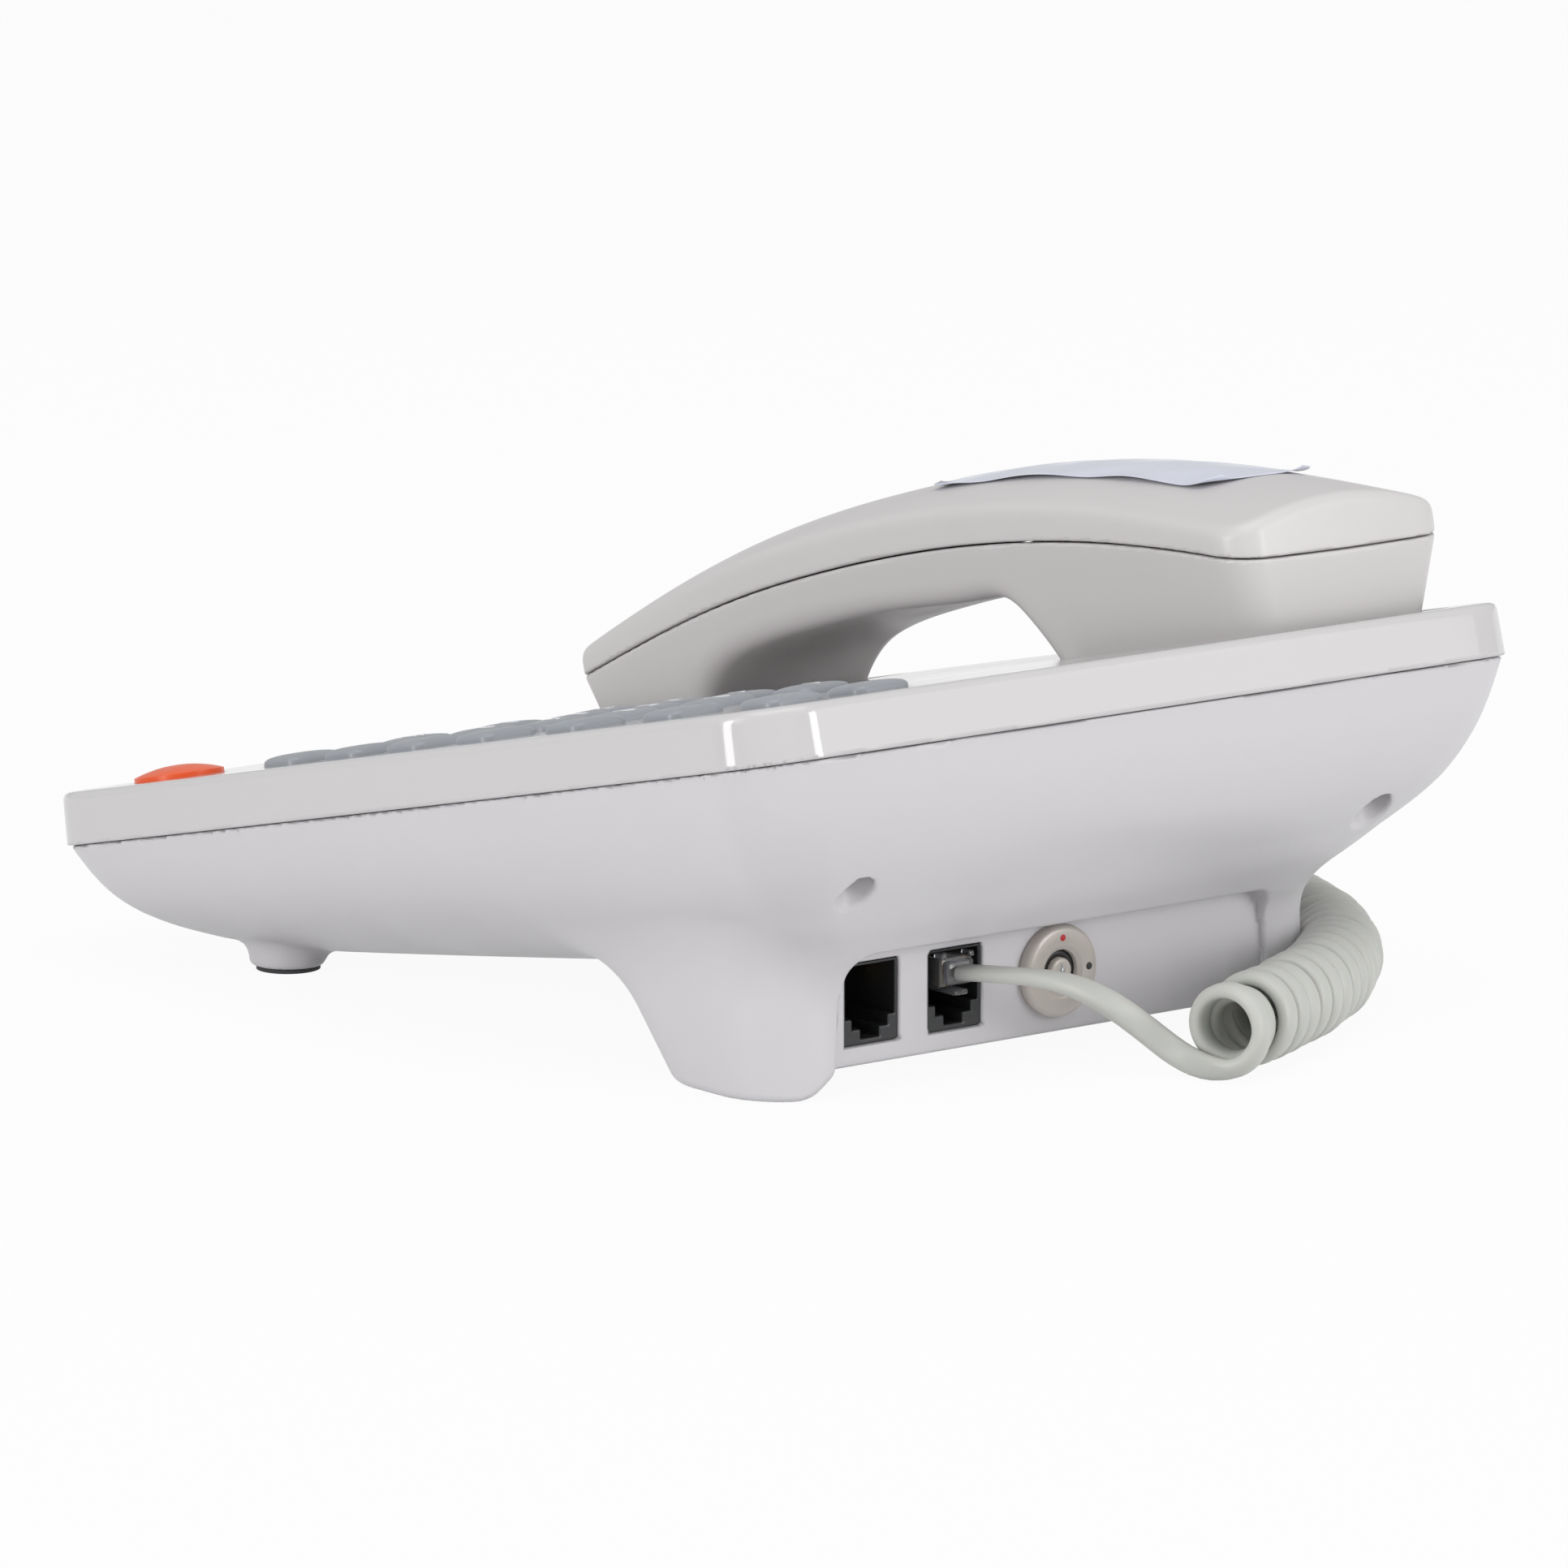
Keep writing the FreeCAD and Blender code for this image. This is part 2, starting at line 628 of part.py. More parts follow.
def build_recall_button():
    body = doc.addObject("PartDesign::Body", "RecallButton")
    rim = "recall_radius"
    low = "-shell_wall - fit_gap - flange_height"
    lip = "-shell_wall - fit_gap"
    edge = "recall_proud - 1.6"
    profile = draw(body, "recall_half", "XZ_Plane", [
        ("0", low), (f"{rim} + flange_reach", low), (f"{rim} + flange_reach", lip), (rim, lip), (rim, edge),
        ("0", "recall_proud")], [(4, f"({rim} ^ 2 + 1.6 ^ 2) / 3.2", 1)])
    turn = body.newObject("PartDesign::Revolution", "recall_turn")
    turn.Profile = profile
    turn.ReferenceAxis = (profile, ["V_Axis"])
    body.Placement = Placement(Vector(value("recall_right"), value("recall_front"), 0), Rotation())
    node("recall_button", body, on_deck=True)


def board(name, label, width, length, level, height, at, holes):
    """A flat plate under a level, centred on the deck, with round holes."""
    across = (f"{at[0]} - {width} / 2", f"{at[0]} + {width} / 2")
    along = (f"{at[1]} - {length} / 2", f"{at[1]} + {length} / 2")
    plate = block(f"{label}_plate", across, along, (f"{level} - {height}", level))
    tools = [disc(f"{label}_hole_{n}", radius, f"{level} - 9", f"{level} + 9", spot) for n, (radius, spot) in enumerate(holes)]
    node(name, cut(label, plate, *tools), on_deck=True)


def build_boards():
    middle = ("mat_middle_across", "mat_middle_along")
    bosses = [("upper_boss + 0.6", spot) for spot in SCREW_SPOTS if value(spot[0]) > 0]
    board("key_mat", "KeyMat", "mat_width", "mat_length", MAT_LEVEL, "mat_height", middle,
          [("post_radius + 0.4", spot) for spot in BOARD_SPOTS] + bosses)
    board("keypad_board", "KeypadBoard", "mat_width", "mat_length", BOARD_LEVEL, "board_height", middle,
          [("board_screw + 0.2", spot) for spot in BOARD_SPOTS] + bosses)
    board("main_board", "MainBoard", "main_width", "main_length", "-main_level", "board_height",
          ("-4", "main_middle_along"), [("board_screw + 0.2", spot) for spot in MAIN_SPOTS])


# ---------------------------------------------------------------- hook, ringer

def build_hook():
    """The plunger that the handset holds down, its spring and its switch."""
    spot = handset_spot(along="hook_along")
    top = "-well_depth"
    collar = "-well_depth - shell_wall - hook_rise - fit_gap"
    stem = disc("hook_stem", "hook_radius", collar, top, spot)
    ring = disc("hook_ring", "hook_collar", f"{collar} - hook_collar_height", collar, spot)
    tail = disc("hook_tail", "hook_radius - 1.2", f"{collar} - hook_collar_height - 2.4", collar, spot)
    node("hook_plunger", join("HookPlunger", stem, ring, tail), on_deck=True)
    seat = "-main_level + hook_switch_height"
    across = ("handset_left - hook_switch_width / 2", "handset_left + hook_switch_width / 2")
    along = ("hook_along - hook_switch_width / 2", "hook_along + hook_switch_width / 2")
    node("hook_switch", block("HookSwitch", across, along, ("-main_level", seat)), on_deck=True)
    outer = disc("spring_outer", "hook_spring_radius", seat, f"{collar} - hook_collar_height", spot)
    inner = disc("spring_inner", "hook_spring_radius - 2 * hook_spring_wire", f"{seat} - 1", collar, spot)
    node("hook_spring", cut("HookSpring", outer, inner), on_deck=True)


def build_ringer():
    low = RINGER_LEVEL
    spot = ("ringer_left", "ringer_front")
    magnet = disc("ringer_magnet", "ringer_radius * 0.55", f"{low} + 3", f"{low} + ringer_height", spot)
    frame = disc("ringer_frame", "ringer_radius", low, f"{low} + 3", spot)
    node("ringer_speaker", join("RingerSpeaker", frame, magnet), on_deck=True)


# ---------------------------------------------------------------- sockets and lock

def build_socket(name, right):
    """A modular socket behind the back wall, open to the back, with its spring contacts."""
    inset = "0.1"
    face = "wall_face - 0.3"
    housing = block(f"{name}_housing", (f"{right} - jack_width / 2 + {inset}", f"{right} + jack_width / 2 - {inset}"),
                    (f"{face} - jack_depth", face), (f"jack_low + {inset}", f"jack_high - {inset}"))
    steps = (("jack_slot / 2", "jack_slot_low", "jack_slot_high"), ("3.3", "jack_slot_low - 2.6", "jack_slot_low + 1"),
             ("1.9", "jack_slot_low - 4.6", "jack_slot_low"))
    tools = [block(f"{name}_step_{n}", (f"{right} - {half}", f"{right} + {half}"),
                   (f"{face} - jack_slot_depth", f"{face} + 1"), (low, high)) for n, (half, low, high) in enumerate(steps)]
    node(name, cut(f"{name}_body", housing, *tools))
    wires = []
    for number in range(4):
        middle = f"{right} + {number - 1.5} * contact_pitch"
        wires.append(block(f"{name}_contact_{number}", (f"{middle} - contact_size / 2", f"{middle} + contact_size / 2"),
                           (f"{face} - jack_slot_depth", f"{face} - jack_slot_depth + 1.6"),
                           ("jack_slot_low + 0.6", "jack_slot_high")))
    node(f"{name}_contacts", join(f"{name}_contact_set", *wires))


def build_socket_board():
    across = ("-22", "56")
    along = ("wall_face - 30", "wall_face - stand_wall - 1.4")
    node("socket_board", block("SocketBoard", across, along, ("jack_low - board_height", "jack_low")))


def build_lock():
    """A tubular-key lock: a flanged barrel through the wall, its nut, and a core that turns with its cam."""
    spot = ("lock_right", "lock_level")
    front = "wall_face - lock_length"
    face = "wall_face + lock_flange_height"
    flange = solid("Cone", "lock_cone", at=("lock_right", "wall_face", "lock_level"), turn=Rotation(Vector(1, 0, 0), -90),
                   Radius1="lock_flange", Radius2="lock_flange - 0.9", Height="lock_flange_height")
    blank = join("lock_blank", flange, rod("lock_tube", "lock_barrel", front, "wall_face + 1", spot))
    bore = rod("lock_bore", "lock_core + 0.05", f"{front} - 1", f"{face} + 1", spot)
    node("lock_barrel", cut("LockBarrel", blank, bore))
    seat = "wall_face - stand_wall - stand_lean * (lock_level + lock_nut) / stand_top"
    nut = solid("Prism", "lock_hexagon", at=("lock_right", f"{seat} - lock_nut_height", "lock_level"),
                turn=Rotation(Vector(1, 0, 0), -90), Circumradius="lock_nut", Height="lock_nut_height")
    node("lock_nut", cut("LockNut", nut, rod("nut_bore", "lock_barrel", "0", "wall_face", spot)))
    core = rod("core_rod", "lock_core", f"{front} - cam_height - 0.3", f"{face} - 0.4", spot)
    ring = cut("keyway_ring", rod("keyway_outer", "lock_ring", f"{face} - lock_keyway_depth", f"{face} + 1", spot),
               rod("keyway_post", "lock_keyway", f"{face} - lock_keyway_depth - 1", f"{face} + 2", spot))
    cam = block("cam_bar", ("lock_right - cam_width / 2", "lock_right + cam_width / 2"),
                (f"{front} - cam_height - 0.3", f"{front} - 0.3"), ("lock_level - cam_width / 2", "lock_level + cam_reach"))
    node("lock_core", join("LockCore", cut("core_cut", core, ring), cam))
    node("lock_switch", block("LockSwitch", ("lock_right - cam_reach - 8", "lock_right - cam_reach - 1.3"), (f"{front} - 6", f"{front} + 2"),
                              ("jack_low", "jack_low + 9")))


# ---------------------------------------------------------------- handset

def handset_plan(name, inset):
    """The handset's plan, waisted at the grip, as a tall block."""
    middle = (value("handset_front") + value("handset_back")) / 2
    half = (value("handset_back") - value("handset_front")) / 2
    wire = bowed_wire(value("handset_half") - value("handset_waist") - inset, half - inset, -value("handset_waist"),
                      value("handset_end_bulge"), value("handset_corner") - inset)
    return loft(name, [outline(f"{name}_{level}", wire, level, across=value("handset_left"), along=middle)
                       for level in (-10, 50)], ruled=True)


def arched(name, floor, crease, crown):
    """The handset's arch: a crowned section swept along the arc of its back, given by three radii."""
    body = doc.addObject("PartDesign::Body", name)
    half = "handset_half + 2"
    sag = f"{crown} - ({crease})"
    profile = draw(body, f"{name}_section", "XZ_Plane", [
        (f"-({half})", floor), (half, floor), (half, crease), (f"-({half})", crease)],
        [(2, f"(({half}) ^ 2 + ({sag}) ^ 2) / (2 * ({sag}))", 1)])
    turn = body.newObject("PartDesign::Revolution", f"{name}_turn")
    turn.Profile = profile
    turn.ReferenceAxis = (profile, ["H_Axis"])
    turn.Midplane = True
    turn.Angle = 40
    body.Placement = Placement(Vector(value("handset_left"), value("crown_along"),
                                      value("crown_level") - value("crown_radius")), Rotation())
    return body


def lower_profile(name, wall):
    """The handset's lower half seen from the side: mouth block, scooped grip and ear block, with an open top."""
    body = doc.addObject("PartDesign::Body", name)
    floor = f"fit_gap - well_depth + {wall}"
    scoop = f"scoop_round + {wall}"
    spots = [(f"handset_front + {wall} + 2.6", floor), (f"mouth_rear - {wall} * 0.9", floor),
             ("mouth_rear + 15.5", f"grip_front_level + {wall}"), ("crown_along", f"grip_middle_level + {wall}"),
             ("ear_front - 12", f"grip_back_level + {wall}"), (f"ear_front + {wall} * 0.9", floor),
             (f"handset_back - 3.4 - {wall}", floor), (f"handset_back + 1 - {wall}", "24"),
             ("handset_back + 1", "60"), ("handset_front - 1", "60"), (f"handset_front - 0.3 + {wall}", "10")]
    sketch = draw(body, f"{name}_side", "YZ_Plane", spots, [(1, scoop, -1), (2, "330", -1), (3, "400", -1), (4, scoop, -1)])
    pad(body, f"{name}_pad", sketch, "60", back="60")
    body.Placement = Placement(Vector(value("handset_left"), 0, 0), Rotation())
    return body


def build_handset_shells():
    seam = "crown_radius - seam_drop"
    upper = overlap("handset_upper", handset_plan("handset_plan_top", 0.0),
                    arched("arch_outer", seam, "crown_radius - crown_height", "crown_radius"))
    upper_room = overlap("handset_upper_room", handset_plan("handset_plan_room", value("handset_wall")),
                         arched("arch_inner", f"{seam} - 5", "crown_radius - crown_height - handset_wall",
                                "crown_radius - handset_wall"))
    latch_way = block("latch_notch", ("handset_left - latch_half", "handset_left + latch_half"),
                      ("handset_front - 5", "handset_front + plug_length"),
                      ("0", "handset_jack_level + plug_height / 2 + latch_rise + 0.3"))
    node("handset_top_shell", cut("HandsetTop", upper, upper_room, latch_way), on_deck=True)
    under = arched("arch_under", "crown_radius - 90", f"{seam} - seam_gap - 0.01", f"{seam} - seam_gap")
    lower = overlap("handset_lower", handset_plan("handset_plan_low", 0.0), lower_profile("lower_side", "0"), under)
    room = overlap("handset_lower_room", handset_plan("handset_plan_cell", value("handset_wall")),
                   lower_profile("lower_room_side", "handset_wall"))
    window = block("handset_socket_window", ("handset_left - handset_jack_width / 2", "handset_left + handset_jack_width / 2"),
                   ("handset_front - 5", "handset_front + 8"),
                   ("handset_jack_level - handset_jack_height / 2", "20"))
    node("handset_lower_shell", cut("HandsetLower", lower, room, window), on_deck=True)


def build_handset_inside():
    """Earpiece, microphone, balance weight, cord socket and the film on the back."""
    floor = "fit_gap - well_depth + handset_wall"
    ear = handset_spot(along="driver_along")
    node("earpiece_driver", join("EarpieceDriver", disc("driver_frame", "driver_radius", floor, f"{floor} + 2.4", ear),
                                 disc("driver_magnet", "driver_radius * 0.6", f"{floor} + 2", f"{floor} + driver_height", ear)),
         on_deck=True)
    mouth = handset_spot(along="microphone_along")
    node("microphone", disc("Microphone", "microphone_radius", floor, f"{floor} + microphone_height", mouth), on_deck=True)
    across = ("handset_left - weight_width / 2", "handset_left + weight_width / 2")
    along = ("crown_along - weight_length / 2", "crown_along + weight_length / 2")
    low = "grip_middle_level + handset_wall + 0.5"
    node("handset_weight", block("HandsetWeight", across, along, (low, f"{low} + weight_height")), on_deck=True)
    half = "handset_jack_width / 2 - 0.1"
    tall = "handset_jack_height / 2 - 0.1"
    shell = block("handset_socket_shell", (f"handset_left - ({half})", f"handset_left + {half}"),
                  ("handset_front + 0.6", "handset_front + 0.6 + handset_jack_depth"),
                  (f"handset_jack_level - ({tall})", f"handset_jack_level + {tall}"))
    slot = block("handset_socket_slot", ("handset_left - plug_width / 2 - 0.15", "handset_left + plug_width / 2 + 0.15"),
                 ("handset_front", "handset_front + handset_jack_depth - 2"),
                 ("handset_jack_level - plug_height / 2 - 0.15", "handset_jack_level + plug_height / 2 + 0.15"))
    latch_slot = block("handset_socket_latch", ("handset_left - latch_half", "handset_left + latch_half"),
                       ("handset_front", "handset_front + plug_length"), ("handset_jack_level", "20"))
    node("handset_socket", cut("HandsetSocket", shell, slot, latch_slot), on_deck=True)
    outer = arched("film_outer", "crown_radius - 20", "crown_radius - crown_height + film_height",
                   "crown_radius + film_height")
    inner = arched("film_inner", "crown_radius - 30", "crown_radius - crown_height", "crown_radius")
    patch = block("film_patch", ("handset_left - film_width / 2", "handset_left + film_width / 2"),
                  ("film_along - film_length / 2", "film_along + film_length / 2"), ("10", "50"))
    node("handset_film", cut("HandsetFilm", overlap("film_skin", outer, patch), inner), on_deck=True)


# ---------------------------------------------------------------- curly cord

# The route in the row's frame, chosen by hand: from the socket past the lock, down to the coil on the table,
# round the stand and along the left side, then up to the handset's front end.
TAIL_ROUTE = [(22.75, 84.0, 19.6), (21.2, 93.5, 20.6), (12.0, 100.2, 19.2), (1.6, 101.8, 14.6), (-7.6, 103.6, 8.8),
              (-13.2, 109.0, 4.6), (-15.8, 117.0, 2.9), (-19.5, 124.0, 2.6)]
COIL_ROUTE = [(-14.0, 120.6, 9.3), (-38.0, 110.5, 9.3), (-64.5, 95.8, 9.3), (-85.5, 75.0, 9.3), (-98.0, 46.0, 9.3),
              (-104.0, 10.0, 9.3), (-108.0, -28.0, 9.3), (-113.0, -66.0, 9.3), (-114.0, -100.0, 9.3)]
RISE_ROUTE = [(-112.5, -96.0, 4.0), (-113.6, -108.0, 3.2), (-110.5, -121.0, 4.0), (-101.0, -132.5, 7.6),
              (-87.0, -139.5, 13.4), (-71.5, -138.5, 21.0), (-61.0, -129.5, 28.6), (-58.0, -117.0, 33.4)]


def tube(name, route, radius, tail=None):
    """A round tube along straight runs joined by tangent arcs, each as large as its runs allow."""
    spots = [Vector(*spot) for spot in route] + ([tail] if tail else [])
    edges = []
    radii = []
    start = spots[0]
    for before, corner, after in zip(spots, spots[1:], spots[2:]):
        incoming = (corner - before).normalize()
        outgoing = (after - corner).normalize()
        turn = incoming.getAngle(outgoing)
        shorter = min((corner - before).Length, (after - corner).Length)
        reach = 0.45 * shorter
        bend = reach / math.tan(turn / 2)
        radii.append(bend)
        first, last = corner - incoming * reach, corner + outgoing * reach
        middle = corner + (outgoing - incoming).normalize() * (bend / math.cos(turn / 2) - bend)
        edges.append(Part.LineSegment(start, first).toShape())
        edges.append(Part.Arc(first, middle, last).toShape())
        start = last
    edges.append(Part.LineSegment(start, spots[-1]).toShape())
    path = Part.Wire(edges)
    ring = Part.Wire(Part.Circle(spots[0], spots[1] - spots[0], radius).toShape())
    item = doc.addObject("Part::Feature", name)
    item.Shape = path.makePipeShell([ring], True, False)
    fill = item.Shape.Volume / (math.pi * radius ** 2 * path.Length)
    print(name, "length", round(path.Length, 1), "radii", [round(bend, 1) for bend in radii], "fill", round(fill, 4))
    return item


def plug(label, at, turn):
    """A clear modular plug with its latch: its cord end lies at the origin and its nose points to +Y."""
    shell = block(f"{label}_block", ("-plug_width / 2", "plug_width / 2"), ("0", "plug_length"),
                  ("-plug_height / 2", "plug_height / 2"))
    across = ("0.4 - latch_half", "latch_half - 0.4")
    latch = block(f"{label}_latch", across, ("0", "plug_length - 2.5"),
                  ("-plug_height / 2 - latch_rise", "-plug_height / 2 - latch_rise / 2"))
    neck = block(f"{label}_neck", across, ("plug_length - 4", "plug_length - 2.5"),
                 ("-plug_height / 2 - latch_rise", "-plug_height / 2 + 0.5"))
    item = join(label, shell, latch, neck)
    item.Placement = Placement(at, turn)
    return item


def build_cord():
    slot_middle = (value("jack_slot_low") + value("jack_slot_high")) / 2
    wall = value("wall_face")
    flip = Rotation(UP, 180)
    node("base_plug", plug("BasePlug", Vector(value("cord_jack_right"), wall + 1.5, slot_middle), flip))
    node("cord_tail_base", tube("CordTailBase", TAIL_ROUTE, value("cord_radius")))
    node("cord_coil", tube("CordCoil", COIL_ROUTE, value("coil_radius")))
    entry = Vector(value("handset_left"), value("handset_front") - 0.5, value("handset_jack_level"))
    near = DECK.multVec(entry - BACK * value("fit_gap"))
    node("cord_tail_handset", tube("CordTailHandset", RISE_ROUTE, value("cord_radius"), tail=near))
    # The latch of the handset's plug points up, into the handset, so it is turned over.
    node("handset_plug", plug("HandsetPlug", DECK.multVec(entry), DECK.Rotation.multiply(Rotation(BACK, 180))))


build_upper_shell()
build_lower_shell()
build_fasteners()
for key, key_spot in KEYS.items():
    build_key(key, key_spot)
build_recall_button()
build_boards()
build_hook()
build_ringer()
build_socket("line_jack", "line_jack_right")
build_socket("cord_jack", "cord_jack_right")
build_socket_board()
build_lock()
build_handset_shells()
build_handset_inside()
build_cord()
doc.recompute()

faults = [item.Name for item in doc.Objects if {"Invalid", "Error"} & set(item.State)]
faults += [name for name, item in nodes.items() if item.Shape.isNull() or not item.Shape.isValid()]
if faults:
    raise SystemExit("faulty objects: " + ", ".join(faults))
os.makedirs("parts", exist_ok=True)
for name, item in nodes.items():
    item.Shape.exportStep(f"parts/{name}.step")
    print(name, len(item.Shape.Solids), round(item.Shape.Volume, 1), item.Shape.BoundBox)
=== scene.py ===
import math

import bpy
import numpy as np
from mathutils import Matrix, Vector


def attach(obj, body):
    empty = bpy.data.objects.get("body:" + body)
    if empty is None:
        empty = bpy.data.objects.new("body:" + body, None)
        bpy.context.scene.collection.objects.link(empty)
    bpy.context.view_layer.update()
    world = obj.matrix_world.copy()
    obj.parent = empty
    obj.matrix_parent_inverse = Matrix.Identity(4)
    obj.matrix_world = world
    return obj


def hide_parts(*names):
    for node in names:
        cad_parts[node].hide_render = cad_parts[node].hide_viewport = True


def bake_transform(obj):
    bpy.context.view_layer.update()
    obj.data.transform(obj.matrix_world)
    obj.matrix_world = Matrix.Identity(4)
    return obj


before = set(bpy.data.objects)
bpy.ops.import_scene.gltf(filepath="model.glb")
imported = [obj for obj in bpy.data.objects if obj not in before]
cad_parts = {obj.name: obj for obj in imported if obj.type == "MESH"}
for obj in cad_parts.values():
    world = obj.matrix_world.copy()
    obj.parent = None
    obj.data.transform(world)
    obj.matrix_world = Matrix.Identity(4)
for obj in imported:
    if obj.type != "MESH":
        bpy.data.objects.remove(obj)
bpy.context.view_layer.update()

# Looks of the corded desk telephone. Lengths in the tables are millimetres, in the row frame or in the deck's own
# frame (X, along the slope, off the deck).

MM = 0.001

# ---------------------------------------------------------------- the deck's frame

DECK_TILT = math.radians(12.5)
DECK_BACK = -1.35
DECK_RISE = 55.75
COS, SIN = math.cos(DECK_TILT), math.sin(DECK_TILT)


def to_deck(y, z):
    """(along, off) in the deck's frame of row-frame y and z, in mm."""
    return (y - DECK_BACK) * COS + (z - DECK_RISE) * SIN, (z - DECK_RISE) * COS - (y - DECK_BACK) * SIN


def on_deck(x, along, off):
    """The row-frame point, in metres, of a point of the deck's frame in mm."""
    return Vector((x, DECK_BACK + along * COS - off * SIN, DECK_RISE + along * SIN + off * COS)) * MM


DECK_MATRIX = Matrix.Translation(on_deck(0, 0, 0)) @ Matrix.Rotation(DECK_TILT, 4, "X")

# ---------------------------------------------------------------- camera

CAMERA_AZIMUTH, CAMERA_RISE = math.radians(141.242), math.radians(11.255)
CAMERA_TARGET = Vector((0.0, 5.73, 29.5)) * MM
CAMERA_DISTANCE = 2.1069
CAMERA_LENS = 254.5
AIM_RIGHT, AIM_UP = -0.000753, 0.0049977

camera = bpy.data.objects.new("camera", bpy.data.cameras.new("camera"))
bpy.context.scene.collection.objects.link(camera)
bpy.context.scene.camera = camera
back = Vector((math.sin(CAMERA_AZIMUTH) * math.cos(CAMERA_RISE), -math.cos(CAMERA_AZIMUTH) * math.cos(CAMERA_RISE),
               math.sin(CAMERA_RISE)))
right = Vector((0, 0, 1)).cross(back).normalized()
upward = back.cross(right)
camera.location = CAMERA_TARGET + back * CAMERA_DISTANCE
camera.rotation_mode = "QUATERNION"
camera.rotation_quaternion = (-back + right * AIM_RIGHT + upward * AIM_UP).to_track_quat("-Z", "Y")
camera.data.sensor_width = 36
camera.data.lens = CAMERA_LENS
camera.data.clip_start, camera.data.clip_end = 0.05, 50

# ---------------------------------------------------------------- mesh helpers


def add_mesh(name, points, faces, smooth=True):
    """A new mesh object from points in metres."""
    mesh = bpy.data.meshes.new(name)
    mesh.from_pydata([tuple(p) for p in points], [], [tuple(int(i) for i in f) for f in faces])
    mesh.validate()
    if smooth:
        mesh.shade_smooth()
    piece = bpy.data.objects.new(name, mesh)
    bpy.context.scene.collection.objects.link(piece)
    return piece


def line_of(route, turn_detail=12):
    """Points along the smooth line of a route in mm, read from its NURBS spline, in metres."""
    curve = bpy.data.curves.new("route", "CURVE")
    curve.dimensions = "3D"
    curve.resolution_u = turn_detail
    spline = curve.splines.new("NURBS")
    spline.points.add(len(route) - 1)
    for spot, place in zip(spline.points, route):
        spot.co = (place[0] * MM, place[1] * MM, place[2] * MM, 1)
    spline.order_u = 3
    spline.use_endpoint_u = True
    holder = bpy.data.objects.new("route", curve)
    bpy.context.scene.collection.objects.link(holder)
    bpy.context.view_layer.update()
    mesh = bpy.data.meshes.new_from_object(holder.evaluated_get(bpy.context.evaluated_depsgraph_get()))
    line = np.array([v.co for v in mesh.vertices])
    bpy.data.objects.remove(holder)
    bpy.data.meshes.remove(mesh)
    return line


def along(line):
    """Distance of each point of a line from its start."""
    return np.concatenate([[0], np.cumsum(np.linalg.norm(np.diff(line, axis=0), axis=1))])


def unit(vectors):
    return vectors / np.maximum(np.linalg.norm(vectors, axis=-1, keepdims=True), 1e-12)


def swept(name, line, flat, section):
    """A closed tube along a line; flat is the direction of the section's second axis at each point."""
    tangent = unit(np.gradient(line, axis=0))
    thin = unit(flat - tangent * (flat * tangent).sum(1)[:, None])
    wide = np.cross(tangent, thin)
    rings = line[:, None] + section[None, :, :1] * wide[:, None] + section[None, :, 1:] * thin[:, None]
    count, around = rings.shape[:2]
    points = np.concatenate([rings.reshape(-1, 3), line[:1], line[-1:]])
    start = np.arange(count - 1)[:, None] * around
    step = np.arange(around)[None]
    after = (step + 1) % around
    faces = np.stack([start + step, start + around + step, start + around + after, start + after], -1).reshape(-1, 4)
    caps = [(count * around, j, (j + 1) % around) for j in range(around)]
    last = (count - 1) * around
    caps += [(count * around + 1, last + (j + 1) % around, last + j) for j in range(around)]
    return add_mesh(name, points, [*faces.tolist(), *caps])


def oval(width, height, power=2.6, count=16):
    """A rounded oval section in metres."""
    turn = np.arange(count) * 2 * np.pi / count
    c, s = np.cos(turn), np.sin(turn)
    return np.stack([width / 2 * np.sign(c) * np.abs(c) ** (2 / power),
                     height / 2 * np.sign(s) * np.abs(s) ** (2 / power)], 1)


# ---------------------------------------------------------------- curly cord

TAIL_ROUTE = [(22.75, 84.0, 19.6), (21.2, 93.5, 20.6), (12.0, 99.4, 19.2), (2.2, 100.6, 14.4), (-5.0, 102.6, 8.8),
              (-8.3, 107.4, 4.5), (-9.6, 112.8, 2.7)]
COIL_ROUTE = [(-11.0, 118.2, 9.8), (-35.5, 108.0, 9.8), (-61.5, 92.0, 9.8), (-80.0, 72.0, 9.8), (-92.0, 46.0, 9.8),
              (-101.0, 10.0, 9.8), (-108.0, -28.0, 9.8), (-113.0, -66.0, 9.8), (-114.0, -100.0, 9.8)]
RISE_ROUTE = [(-107.0, -106.5, 15.6), (-100.5, -116.0, 13.2), (-92.0, -126.5, 13.4),
              (-81.0, -134.5, 17.0), (-70.0, -135.0, 23.2), (-61.5, -128.0, 29.4), (-58.0, -117.0, 33.4),
              tuple(on_deck(-58, -103.3, 3.05) / MM)]
CORD_WIDTH, CORD_THICK = 5.2, 2.9
COIL_OUTSIDE = 9.1
COIL_PITCH = 5.3
POINTS_A_TURN = 14


